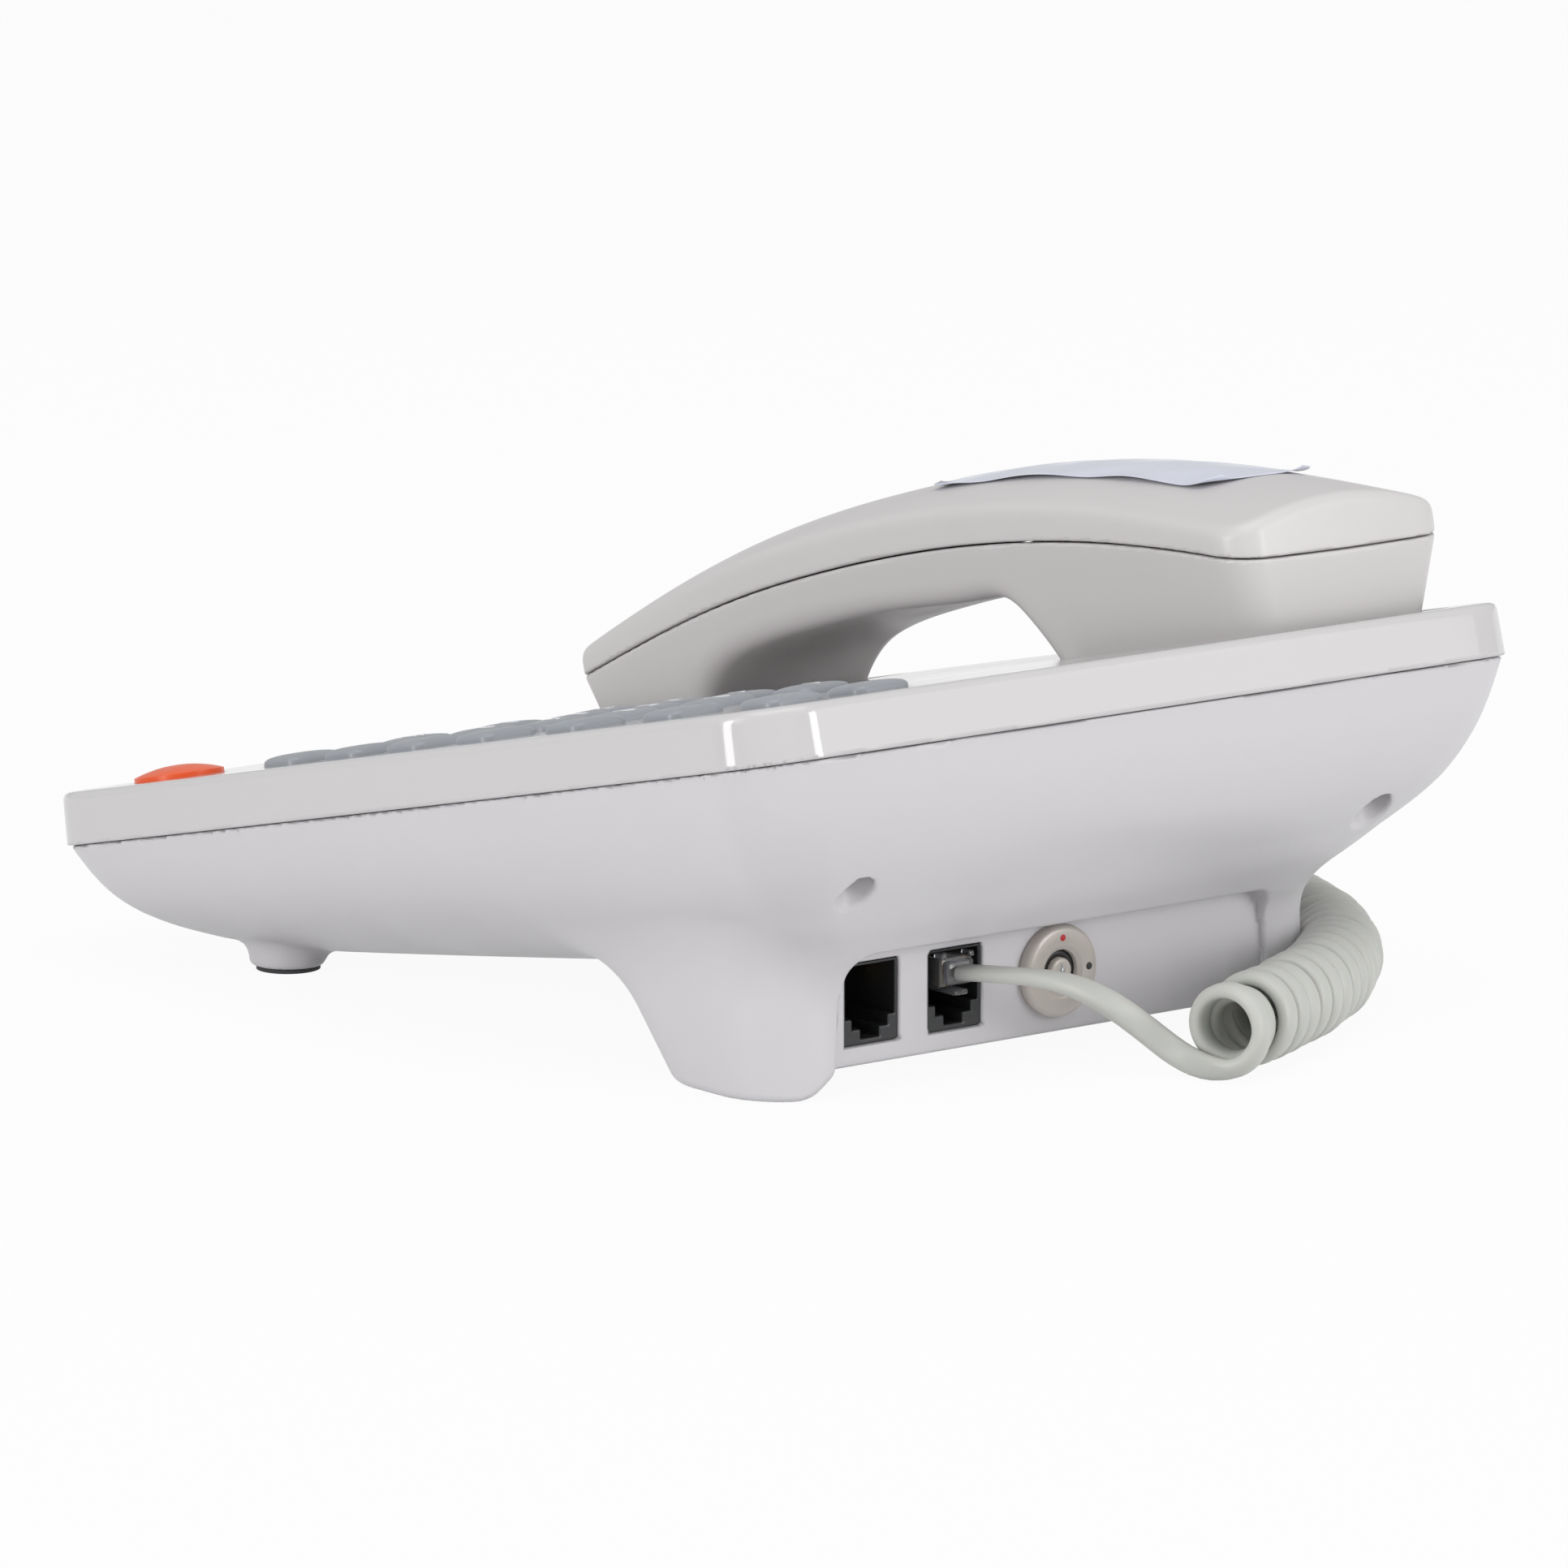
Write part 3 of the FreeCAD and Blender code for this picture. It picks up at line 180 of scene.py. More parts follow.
def coil_points():
    """Control points of the coil's turns round its axis, in mm, with the axis point of each."""
    axis = line_of(COIL_ROUTE) / MM
    reach = along(axis)
    turns = math.floor(reach[-1] / COIL_PITCH - 0.5) + 0.5
    count = int(turns * POINTS_A_TURN) + 1
    spot = np.linspace(0, reach[-1], count)
    centre = np.stack([np.interp(spot, reach, axis[:, k]) for k in range(3)], 1)
    ahead = unit(np.gradient(centre, axis=0))
    side = unit(np.cross(ahead, [0, 0, 1]))
    phase = np.arange(count) * 2 * np.pi / POINTS_A_TURN
    turn = phase / (2 * np.pi)
    radius = COIL_OUTSIDE - CORD_THICK / 2 - 0.12 * (1 + np.sin(1.7 * turn)) - 0.1 * (1 + np.sin(4.1 * turn + 1))
    radius -= 1.9 * np.exp(-((turn - 1.35) / 0.45) ** 2)
    shift = 0.35 * np.sin(2.3 * turn + 0.5) * np.minimum(turn / 3, 1)
    points = centre + ahead * shift[:, None]
    points += radius[:, None] * (np.sin(phase)[:, None] * side - np.cos(phase)[:, None] * np.array([0, 0, 1]))
    return points, centre


def build_cord():
    turns, centre = coil_points()
    route = [*TAIL_ROUTE, *map(tuple, turns), *RISE_ROUTE]
    hints = [(0, 0, 1), (0, 0.1, 1), (0.35, 0.55, 0.7), (0.5, 0.8, 0.4), (0.55, 0.8, 0.2), (0.6, 0.75, 0.0),
             (0.55, 0.7, -0.35)]
    radial = unit(turns - centre)
    radial[:4] = unit(radial[:4] * 1.0 + np.linspace(0.9, 0, 4)[:, None] * np.array([0.5, 0.6, 0.0]))
    hints += [tuple(r) for r in radial]
    hints += [(0.3, 0, 1), (0.2, 0, 1), (0, 0, 1), (0, 0.2, 1), (0, 0.3, 1), (0, 0.3, 1), (0, 0.2, 1), (0, 0.2, 1)]
    detail = 3
    line = line_of(route, detail)
    place = np.linspace(0, len(route) - 1, len(line))
    flat = np.stack([np.interp(place, np.arange(len(route)), np.array(hints, float)[:, k]) for k in range(3)], 1)
    cord = swept("curly_cord", line, flat, oval(CORD_WIDTH * MM, CORD_THICK * MM))
    return cord, line


cord, cord_line = build_cord()
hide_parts("cord_tail_base", "cord_coil", "cord_tail_handset")

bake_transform(cord)

# ---------------------------------------------------------------- shells as distance fields, in mm


def smooth_through(knots, values, spots):
    """A natural cubic spline through the knots."""
    knots, values = np.asarray(knots, float), np.asarray(values, float)
    count, gap = len(knots), np.diff(knots)
    rows, rhs = np.eye(count), np.zeros(count)
    for i in range(1, count - 1):
        rows[i, i - 1:i + 2] = gap[i - 1], 2 * (gap[i - 1] + gap[i]), gap[i]
        rhs[i] = 3 * ((values[i + 1] - values[i]) / gap[i] - (values[i] - values[i - 1]) / gap[i - 1])
    bend = np.linalg.solve(rows, rhs)
    i = np.clip(np.searchsorted(knots, spots) - 1, 0, count - 2)
    step = spots - knots[i]
    slope = (values[i + 1] - values[i]) / gap[i] - gap[i] * (2 * bend[i] + bend[i + 1]) / 3
    return values[i] + slope * step + bend[i] * step ** 2 + (bend[i + 1] - bend[i]) / (3 * gap[i]) * step ** 3


def soft_min(a, b, reach):
    share = np.maximum(reach - np.abs(a - b), 0) / reach
    return np.minimum(a, b) - share * share * (reach / 4)


def soft_max(a, b, reach):
    return -soft_min(-a, -b, reach)


def bow_circle(half, reach, bow):
    """Middle and radius of the arc that bows a side out, or in where bow is negative."""
    radius = (reach ** 2 + bow ** 2) / (2 * abs(bow))
    return half - math.copysign(radius, bow), radius


def box_field(x, y, z, low, high):
    inside = [np.maximum(low[k] - p, p - high[k]) for k, p in enumerate((x, y, z))]
    return np.maximum(np.maximum(inside[0], inside[1]), inside[2])


def rounded(over, under, corner):
    """Distance to a corner-rounded outline from the distances past its two straight sides."""
    over, under = over + corner, under + corner
    return np.hypot(np.maximum(over, 0), np.maximum(under, 0)) + np.minimum(np.maximum(over, under), 0) - corner


def surface_net(field, low, high, step):
    """Points (mm) and quads of a field's zero surface, by naive surface nets."""
    axes = [np.arange(low[k], high[k] + step, step, dtype=np.float32) for k in range(3)]
    value = field(axes[0][:, None, None], axes[1][None, :, None], axes[2][None, None, :]).astype(np.float32)
    inside = value < 0
    shape = [n - 1 for n in value.shape]
    corners = [(a, b, c) for a in (0, 1) for b in (0, 1) for c in (0, 1)]
    count = np.zeros(shape, np.uint8)
    for a, b, c in corners:
        count += inside[a:a + shape[0], b:b + shape[1], c:c + shape[2]]
    active = (count > 0) & (count < 8)
    cells = np.argwhere(active)
    index = np.full(shape, -1, np.int32)
    index[active] = np.arange(len(cells))
    total, hits = np.zeros((len(cells), 3)), np.zeros(len(cells))
    for start in corners:
        for axis in range(3):
            if start[axis]:
                continue
            stop = tuple(s + (k == axis) for k, s in enumerate(start))
            first, second = (value[tuple((cells + c).T)] for c in (start, stop))
            crossed = (first < 0) != (second < 0)
            share = first[crossed] / (first[crossed] - second[crossed])
            total[crossed] += np.array(start) + share[:, None] * (np.array(stop) - np.array(start))
            hits[crossed] += 1
    points = (cells + total / hits[:, None]) * step + np.array([a[0] for a in axes])
    quads = []
    for axis in range(3):
        one, two = (axis + 1) % 3, (axis + 2) % 3
        ahead = tuple(slice(1, None) if k == axis else slice(None) for k in range(3))
        behind = tuple(slice(None, -1) if k == axis else slice(None) for k in range(3))
        flips = np.argwhere(inside[ahead] != inside[behind])
        flips = flips[(flips[:, one] > 0) & (flips[:, two] > 0)]
        flips = flips[(flips[:, one] < shape[one]) & (flips[:, two] < shape[two])]
        outward = inside[tuple(flips.T)]
        ring = []
        for down, across in ((1, 1), (0, 1), (0, 0), (1, 0)):
            shifted = flips.copy()
            shifted[:, one] -= down
            shifted[:, two] -= across
            ring.append(index[tuple(shifted.T)])
        ring = np.stack(ring, 1)
        quads.append(np.where(outward[:, None], ring, ring[:, ::-1]))
    return points, np.concatenate(quads)


def slope_of(field, points, reach=0.05):
    steps = np.eye(3) * reach
    return np.stack([field(*(points + s).T) - field(*(points - s).T) for s in steps], 1) / (2 * reach)


def shell_piece(name, field, low, high, step, keep=1.0, place=None):
    """A mesh of a field's surface, drawn close to the exact surface and shaded with its slope."""
    points, quads = surface_net(field, low, high, step)
    for _ in range(2):
        slope = slope_of(field, points)
        size = np.maximum((slope ** 2).sum(1), 0.2)
        points -= np.clip(field(*points.T) / size, -step / 2, step / 2)[:, None] * slope
    piece = add_mesh(name, points, quads)
    if keep < 1:
        thin = piece.modifiers.new("thin", "DECIMATE")
        thin.ratio = keep
        bpy.context.view_layer.update()
        mesh = bpy.data.meshes.new_from_object(piece.evaluated_get(bpy.context.evaluated_depsgraph_get()))
        piece.modifiers.clear()
        piece.data = mesh
        mesh.shade_smooth()
    mesh = piece.data
    spots = np.empty(len(mesh.vertices) * 3)
    mesh.vertices.foreach_get("co", spots)
    normals = unit(slope_of(field, spots.reshape(-1, 3), 0.12))
    mesh.transform(Matrix.Scale(MM, 4))
    if place is not None:
        mesh.transform(place)
        normals = normals @ np.array(place.to_3x3()).T
    mesh.normals_split_custom_set_from_vertices([tuple(n) for n in normals])
    return piece


# ---------------------------------------------------------------- lower shell with its stand

DECK_HALF, DECK_REACH = 97.0, 116.3
SIDE_BOW, END_BOW = 4.9, 3.7
DECK_CORNER = 13.8
HULL_PROFILE = ((0.0, 0.0, 0.0), (5.0, 10.65, 0.6), (11.5, 18.2, 1.4), (21.5, 24.7, 2.2), (35.5, 31.2, 4.0),
                (52.5, 33.0, 4.0))
SEAM_LEVEL = -10.3
WALL = 2.2
SCREWS = [(side * 62.1, back) for side in (1, -1) for back in (97.0, -95.0)]
STAND_HALF, STAND_ROUND, STAND_TOP, STAND_FILLET = 68.5, 15.0, 42.0, 10.0
STAND_FRONT, STAND_FRONT_LEAN, STAND_REAR, STAND_REAR_LEAN = 46.7, 0.9, 84.5, 3.2 / 44
FOOT_SPOT, FOOT_RADIUS, FOOT_TOP, FOOT_FLOOR = (62, -72), 7.3, 12, 0.8
ARCH_HALF, ARCH_LEAN, ARCH_TOP = 57.6, 1.35, 4.8
RECESS_HALF, RECESS_LEAN, RECESS_TOP, RECESS_ROUND, RECESS_FACE = 50.0, 0.12, 26.6, 4.0, 82.0
SCREW_WELL, SCREW_POST, SCREW_HOLE = 3.6, 5.4, 1.7
SOCKETS, SOCKET_HALF, SOCKET_LOW, SOCKET_HIGH = (42.5, 22.75), 6.5, 8.5, 24.0
LOCK_X, LOCK_Z, LOCK_BORE = -1.0, 16.7, 6.6


def hull_lines():
    """Depth under the seam and tip, as functions of the inset."""
    inset, depth, tip = (np.array(c) for c in zip(*HULL_PROFILE))
    run = along(np.stack([inset, depth], 1))
    fine = np.linspace(0, run[-1], 240)
    return (smooth_through(run, inset, fine), smooth_through(run, depth, fine),
            np.tan(np.radians(np.interp(smooth_through(run, inset, fine), inset, tip))))


HULL_INSET, HULL_DEPTH, HULL_TIP = hull_lines()
HULL_SLOPE = np.gradient(HULL_DEPTH, HULL_INSET)


def hull_field(x, y, z):
    back_way, off = to_deck(y, z)
    side_middle, side_radius = bow_circle(DECK_HALF, DECK_REACH, SIDE_BOW)
    end_middle, end_radius = bow_circle(DECK_REACH, DECK_HALF, END_BOW)
    side = side_radius - np.hypot(np.abs(x) - side_middle, back_way)
    end = end_radius - np.hypot(x, np.abs(back_way) - end_middle)
    inset = np.minimum(side, end)
    for _ in range(4):
        corner = np.maximum(DECK_CORNER - 0.2 * inset, 5)
        reach = corner + inset
        over, under = reach - side, reach - end
        inset = reach - np.hypot(np.maximum(over, 0), np.maximum(under, 0)) - np.minimum(np.maximum(over, under), 0)
    slope = np.interp(inset, HULL_INSET, HULL_SLOPE)
    depth = np.where(inset > 0, np.interp(inset, HULL_INSET, HULL_DEPTH), inset * HULL_SLOPE[0])
    depth = depth + back_way * np.interp(inset, HULL_INSET, HULL_TIP)
    return (SEAM_LEVEL - off - depth) / np.sqrt(1 + slope ** 2)


def stand_field(x, y, z):
    front = STAND_FRONT - STAND_FRONT_LEAN * z
    rear = STAND_REAR - STAND_REAR_LEAN * z
    over = np.abs(x) - (STAND_HALF - STAND_ROUND)
    under = np.abs(y - (front + rear) / 2) - ((rear - front) / 2 - STAND_ROUND)
    side = np.hypot(np.maximum(over, 0), np.maximum(under, 0)) + np.minimum(np.maximum(over, under), 0) - STAND_ROUND
    return np.maximum(side, z - STAND_TOP)


def lower_body(x, y, z):
    """The filled outside of the lower shell, open upwards."""
    body = soft_min(hull_field(x, y, z), stand_field(x, y, z), STAND_FILLET)
    for side in (1, -1):
        from_middle = np.hypot(x - side * FOOT_SPOT[0], y - FOOT_SPOT[1])
        foot = np.maximum(from_middle - (FOOT_RADIUS + 0.1 * z), z - FOOT_TOP)
        body = soft_min(body, soft_max(foot, FOOT_FLOOR - z, 1.2), 2.5)
    arch = np.maximum(np.abs(x) - (ARCH_HALF - ARCH_LEAN * z), z - ARCH_TOP)
    body = soft_max(body, -arch, 3.2)
    return soft_max(body, -z, 1.6)


def recess_field(x, y, z):
    """The shallow panel in the back wall, rounded at its upper corners."""
    side = np.abs(x) - (RECESS_HALF + RECESS_LEAN * (26 - z))
    return np.maximum(RECESS_FACE - y, rounded(side, z - RECESS_TOP, RECESS_ROUND))


def lower_shell_field(x, y, z):
    body = soft_max(lower_body(x, y, z), -recess_field(x, y, z), 0.7)
    back_way, off = to_deck(y, z)
    shell = np.maximum(body, -(body + WALL))
    wells = []
    for across, far in SCREWS:
        post = np.hypot(x - across, back_way - far)
        shell = np.minimum(shell, np.maximum(np.maximum(post - SCREW_POST, body), off + 10.8))
        wells.append((post - SCREW_WELL, post))
    shell = soft_max(shell, off - SEAM_LEVEL, 0.6)
    for well, post in wells:
        shell = soft_max(shell, -np.maximum(well, off + 15), 1.0)
        shell = np.maximum(shell, -(post - SCREW_HOLE))
    for middle in SOCKETS:
        window = box_field(x, y, z, (middle - SOCKET_HALF, 70, SOCKET_LOW), (middle + SOCKET_HALF, 95, SOCKET_HIGH))
        shell = np.maximum(shell, -window)
    lock = np.maximum(np.hypot(x - LOCK_X, z - LOCK_Z) - LOCK_BORE, 70 - y)
    return np.maximum(shell, -lock)


lower_shell = shell_piece("lower_casing", lower_shell_field, (-98.5, -118, -1.5), (98.5, 116, 75), 0.9, keep=0.55)
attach(lower_shell, "base")
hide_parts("lower_shell")

# ---------------------------------------------------------------- upper shell, in the deck's frame

BAND_HALF, BAND_REACH, BAND_DEPTH, BAND_FLARE = 97.2, 116.5, 10.2, 0.5
BAND_RIM, DECK_WALL = 1.9, 2.2
HANDSET_LEFT, HANDSET_MIDDLE = -58.0, 1.75
HANDSET_HALF, HANDSET_REACH, HANDSET_WAIST, HANDSET_BOW = 24.7, 104.25, -1.8, 1.5
WELL_DEPTH, WELL_ROOM = 3.0, 1.4
WELL_ENDS = ((-102.5, -65.0), (49.5, 104.0))
HOOK_SPOT, HOOK_HOLE = (-58.0, 66.0), 3.5
RECALL_SPOT, RECALL_HOLE = (77.0, -87.0), 9.0
KEY_HALF, KEY_REACH, KEY_CORNER, KEY_GAP = 6.5, 5.4, 2.6, 0.3
DIAL = ["1", "2", "3", "4", "5", "6", "7", "8", "9", "star", "0", "hash"]


def key_spots():
    spots = {f"key_{name}": (3.0 + 22.5 * (n % 3), -49.0 + 22.0 * (3 - n // 3)) for n, name in enumerate(DIAL)}
    for number, step in enumerate((0.0, 20.0, 40.0, 62.0, 90.0, 119.5, 148.5), 1):
        spots[f"feature_key_{number}"] = (73.0, -51.5 + step)
    spots["feature_key_8"] = (50.5, 94.0)
    return spots


KEYS = key_spots()


def deck_outline(x, v):
    side_middle, side_radius = bow_circle(BAND_HALF, BAND_REACH, SIDE_BOW)
    end_middle, end_radius = bow_circle(BAND_REACH, BAND_HALF, END_BOW)
    side = np.hypot(np.abs(x) - side_middle, v) - side_radius
    end = np.hypot(x, np.abs(v) - end_middle) - end_radius
    return rounded(side, end, DECK_CORNER)


def handset_outline(x, v, corner, inset=0.0):
    across, middle = x - HANDSET_LEFT, v - HANDSET_MIDDLE
    side_middle, side_radius = bow_circle(HANDSET_HALF, HANDSET_REACH, HANDSET_WAIST)
    end_middle, end_radius = bow_circle(HANDSET_REACH, HANDSET_HALF, HANDSET_BOW)
    return rounded(side_radius - np.hypot(np.abs(across) - side_middle, middle) + inset,
                   np.hypot(across, np.abs(middle) - end_middle) - end_radius + inset, corner)


def upper_field(x, v, w):
    plan = deck_outline(x, v) + BAND_FLARE * np.minimum(w, 0) / BAND_DEPTH
    body = soft_max(soft_max(plan, w, BAND_RIM), -BAND_DEPTH - w, 0.5)
    shell = np.maximum(body, -np.maximum(plan + DECK_WALL, w + DECK_WALL))
    rest = handset_outline(x, v, 10.0) - WELL_ROOM
    for front, back in WELL_ENDS:
        well = np.maximum(rest, np.maximum(front - WELL_ROOM - v, v - back - WELL_ROOM))
        shell = np.minimum(shell, np.maximum(well - DECK_WALL, np.maximum(w + 1, -WELL_DEPTH - DECK_WALL - w)))
        shell = soft_max(shell, -np.maximum(well, -WELL_DEPTH - w), 0.5)
    holes = np.minimum(np.hypot(x - HOOK_SPOT[0], v - HOOK_SPOT[1]) - HOOK_HOLE,
                       np.hypot(x - RECALL_SPOT[0], v - RECALL_SPOT[1]) - RECALL_HOLE)
    for right, along_deck in KEYS.values():
        holes = np.minimum(holes, rounded(np.abs(x - right) - KEY_HALF - KEY_GAP,
                                          np.abs(v - along_deck) - KEY_REACH - KEY_GAP, KEY_CORNER + KEY_GAP))
    return soft_max(shell, -holes, 0.4)


upper_shell = shell_piece("upper_casing", upper_field, (-99, -118, -11), (99, 118, 0.8), 0.7, 1.0, DECK_MATRIX)
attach(upper_shell, "base")
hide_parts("upper_shell")

# ---------------------------------------------------------------- handset shells, in the deck's frame

SEAM_LINE = ((-108, 6.2), (-101.8, 7.8), (-57.2, 18.2), (-17.4, 22.8), (13, 23.9), (56.8, 21.7), (103.9, 14.2),
             (110, 12.9))
CREASE_LINE = ((-108, 9.6), (-100.8, 12.0), (-57.8, 23), (-11.5, 28.6), (16.2, 29.2), (64.9, 25.6), (100.7, 19.2),
               (110, 17.4))
CROWN_LINE = ((-108, 14.6), (-100, 18.0), (-59, 30.4), (-6, 36.3), (14, 36.9), (62, 33.2), (98, 26.0), (110, 23.0))
SCOOP_LINE = ((-71, -9.5), (-66.5, 1.4), (-62.0, 5.4), (-52.9, 8.8), (-34.7, 11.4), (-8.7, 13.0), (20.0, 13.0),
              (29.5, 11.9), (34.0, 7.6), (39.4, -1.0), (43.0, -9.5))
HANDSET_FLOOR = -2.7


def levels(line, spots):
    """Heights along the handset of a line given by a few points."""
    where, height = (np.array(c, float) for c in zip(*line))
    run = along(np.stack([where, height], 1))
    fine = np.linspace(0, run[-1], 300)
    return np.interp(spots, smooth_through(run, where, fine), smooth_through(run, height, fine))


def handset_body(x, v, w):
    """The filled handset, both shells."""
    across = x - HANDSET_LEFT
    taper = levels(SEAM_LINE, v) - w
    plan = handset_outline(x, v, np.where(v < 0, 3.0, 7.0), 0.11 * (np.sqrt(taper ** 2 + 1) + taper))
    crease, crown = levels(CREASE_LINE, v), levels(CROWN_LINE, v)
    top = (w - crease - (crown - crease) * (1 - (across / 28) ** 2)) * 0.93
    scoop_level = levels(SCOOP_LINE, v)
    steep = (levels(SCOOP_LINE, v + 0.5) - levels(SCOOP_LINE, v - 0.5))
    scoop = (scoop_level - w) / np.sqrt(1 + steep ** 2)
    body = soft_max(plan, top, 2.2)
    body = soft_max(body, HANDSET_FLOOR - w, 1.6)
    return soft_max(body, scoop, 4.5)


def handset_shell(x, v, w):
    body = handset_body(x, v, w)
    shell = np.maximum(body, -(body + 2.3))
    return np.maximum(shell, -box_field(x, v, w, (-63.5, -115, -0.6), (-52.5, -90, 6.8)))


def handset_top_field(x, v, w):
    notch = box_field(x, v, w, (-60.0, -115, 4), (-56.0, -92, 8.5))
    return np.maximum(soft_max(handset_shell(x, v, w), levels(SEAM_LINE, v) - w, 0.5), -notch)


def handset_low_field(x, v, w):
    notch = box_field(x, v, w, (-60.0, -115, 4), (-56.0, -92, 8.5))
    return np.maximum(soft_max(handset_shell(x, v, w), w - levels(SEAM_LINE, v) + 0.3, 0.5), -notch)


HANDSET_LOW, HANDSET_HIGH = (-86.5, -105.5, -4.0), (-29.5, 109.0, 39.0)
handset_top = shell_piece("handset_top", handset_top_field, HANDSET_LOW, HANDSET_HIGH, 0.7, 0.6, DECK_MATRIX)
handset_low = shell_piece("handset_low", handset_low_field, HANDSET_LOW, HANDSET_HIGH, 0.7, 0.6, DECK_MATRIX)
for piece, node in ((handset_top, "handset_top_shell"), (handset_low, "handset_lower_shell")):
    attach(piece, "handset")
    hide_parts(node)

# ---------------------------------------------------------------- film on the handset


def handset_crown(across, v):
    """Level of the handset's back at a distance across from its middle."""
    crease, crown = levels(CREASE_LINE, v), levels(CROWN_LINE, v)
    return crease + (crown - crease) * (1 - (across / 28) ** 2)


def build_film():
    """A thin protective film that lies on the back of the ear end and lifts at its corners."""
    half, start, stop, round_corner, thick = 14.0, 1.0, 84.0, 4.0, 0.16
    across, way = np.meshgrid(np.linspace(-1, 1, 41), np.linspace(0, 1, 81), indexing="ij")
    near_end = np.minimum(way, 1 - way) * (stop - start)
    cut = np.where(near_end < round_corner, round_corner - np.sqrt(np.maximum(
        round_corner ** 2 - (round_corner - near_end) ** 2, 0)), 0)
    x = across * (half - cut)
    v = start + way * (stop - start)
    edge = np.abs(across) ** 6
    lift = 0.1 + 0.9 * edge * (0.35 + 0.65 * np.sin(way * 9.0 + 1.2 * across) ** 2) * (0.3 + 0.7 * (across > 0))
    lift += 1.3 * np.exp(-((1 - way) / 0.05) ** 2) * np.abs(across) ** 3 + 0.04 * np.sin(way * 31 + 5 * across)
    w = handset_crown(x, v) + lift
    rings = [np.stack([HANDSET_LEFT + x, v, w + t], -1).reshape(-1, 3) for t in (thick, 0)]
    rows, columns = across.shape
    grid = np.arange(rows * columns).reshape(rows, columns)
    top = np.stack([grid[:-1, :-1], grid[1:, :-1], grid[1:, 1:], grid[:-1, 1:]], -1).reshape(-1, 4)
    loop = np.concatenate([grid[0, :-1], grid[:-1, -1], grid[-1, :0:-1], grid[:0:-1, 0]])
    after = np.roll(loop, -1)
    size = rows * columns
    rim = np.stack([loop, after, after + size, loop + size], 1)
    faces = [*top.tolist(), *(top[:, ::-1] + size).tolist(), *rim.tolist()]
    points = np.concatenate(rings) * MM @ np.array(DECK_MATRIX.to_3x3()).T + np.array(on_deck(0, 0, 0))
    return add_mesh("back_film", points, faces)


film = build_film()
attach(film, "handset")
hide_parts("handset_film")

# ---------------------------------------------------------------- keys

KEY_PROFILE = ((0.0, -3.4), (0.0, 0.55), (0.12, 0.95), (0.45, 1.3), (1.0, 1.56), (1.9, 1.76), (3.0, 1.9), (4.2, 1.97),
               (5.2, 2.0))


def rounded_loop(half, reach, corner, count=12):
    """Points round a rounded rectangle."""
    points = []
    for quarter, (sx, sy) in enumerate(((1, 1), (-1, 1), (-1, -1), (1, -1))):
        turn = (quarter + np.linspace(0, 1, count)) * np.pi / 2
        across, up = sx * (half - corner) + corner * np.cos(turn), sy * (reach - corner) + corner * np.sin(turn)
        points.append(np.stack([across, up], 1))
    return np.concatenate(points)


def stacked(loops, levels_up):
    """Points and faces of a closed solid from loops at rising levels."""
    count = len(loops[0])
    points = np.concatenate([np.column_stack([loop, np.full(count, level)]) for loop, level in zip(loops, levels_up)])
    faces = []
    for ring in range(len(loops) - 1):
        base = ring * count
        steps = [(i, (i + 1) % count) for i in range(count)]
        faces += [(base + i, base + k, base + count + k, base + count + i) for i, k in steps]
    faces.append(tuple(range(count - 1, -1, -1)))
    last = (len(loops) - 1) * count
    points = np.concatenate([points, [[0, 0, levels_up[-1] + 0.01]]])
    faces += [(last + i, last + (i + 1) % count, len(points) - 1) for i in range(count)]
    return points, faces


def build_key(name, spot):
    loops = [rounded_loop(KEY_HALF - inset, KEY_REACH - inset, max(KEY_CORNER - inset * 0.45, 0.2))
             for inset, _ in KEY_PROFILE]
    points, faces = stacked(loops, [level for _, level in KEY_PROFILE])
    cap = add_mesh(f"cap_{name}", [on_deck(spot[0] + p[0], spot[1] + p[1], p[2]) for p in points], faces)
    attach(cap, name)
    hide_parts(name)
    return cap


LEGENDS = {"key_star": "*", "key_hash": "#", **{f"key_{d}": d for d in "0123456789"}}
LEGEND_SIZE, LEGEND_HALF_DEPTH = 0.0072, 0.00006
STAR_SIZE, STAR_DROP = 0.011, 0.0018
LEGEND_RISE, LEGEND_SINK = 0.05, 0.5


def build_legend(name, spot):
    """A plain raised numeral on a dial key."""
    text = bpy.data.curves.new(f"legend_{name}", "FONT")
    text.body = LEGENDS[name]
    text.size, text.extrude = LEGEND_SIZE, LEGEND_HALF_DEPTH
    text.align_x, text.align_y = "CENTER", "CENTER"
    if name == "key_star":
        text.size = STAR_SIZE
        text.offset_y = -STAR_DROP
    holder = bpy.data.objects.new(f"legend_{name}", text)
    bpy.context.scene.collection.objects.link(holder)
    bpy.context.view_layer.update()
    mesh = bpy.data.meshes.new_from_object(holder.evaluated_get(bpy.context.evaluated_depsgraph_get()))
    bpy.data.objects.remove(holder)
    for vertex in mesh.vertices:
        level = KEY_PROFILE[-1][1] + (LEGEND_RISE if vertex.co.z > 0 else -LEGEND_SINK)
        vertex.co = on_deck(spot[0] + vertex.co.x / MM, spot[1] + vertex.co.y / MM, level)
    numeral = bpy.data.objects.new(f"legend_{name}", mesh)
    bpy.context.scene.collection.objects.link(numeral)
    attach(numeral, name)
    return numeral


caps = [build_key(name, spot) for name, spot in KEYS.items()]
legends = [build_legend(name, KEYS[name]) for name in LEGENDS]

# ---------------------------------------------------------------- sockets, plug and lock

JACK_FACE = 81.4


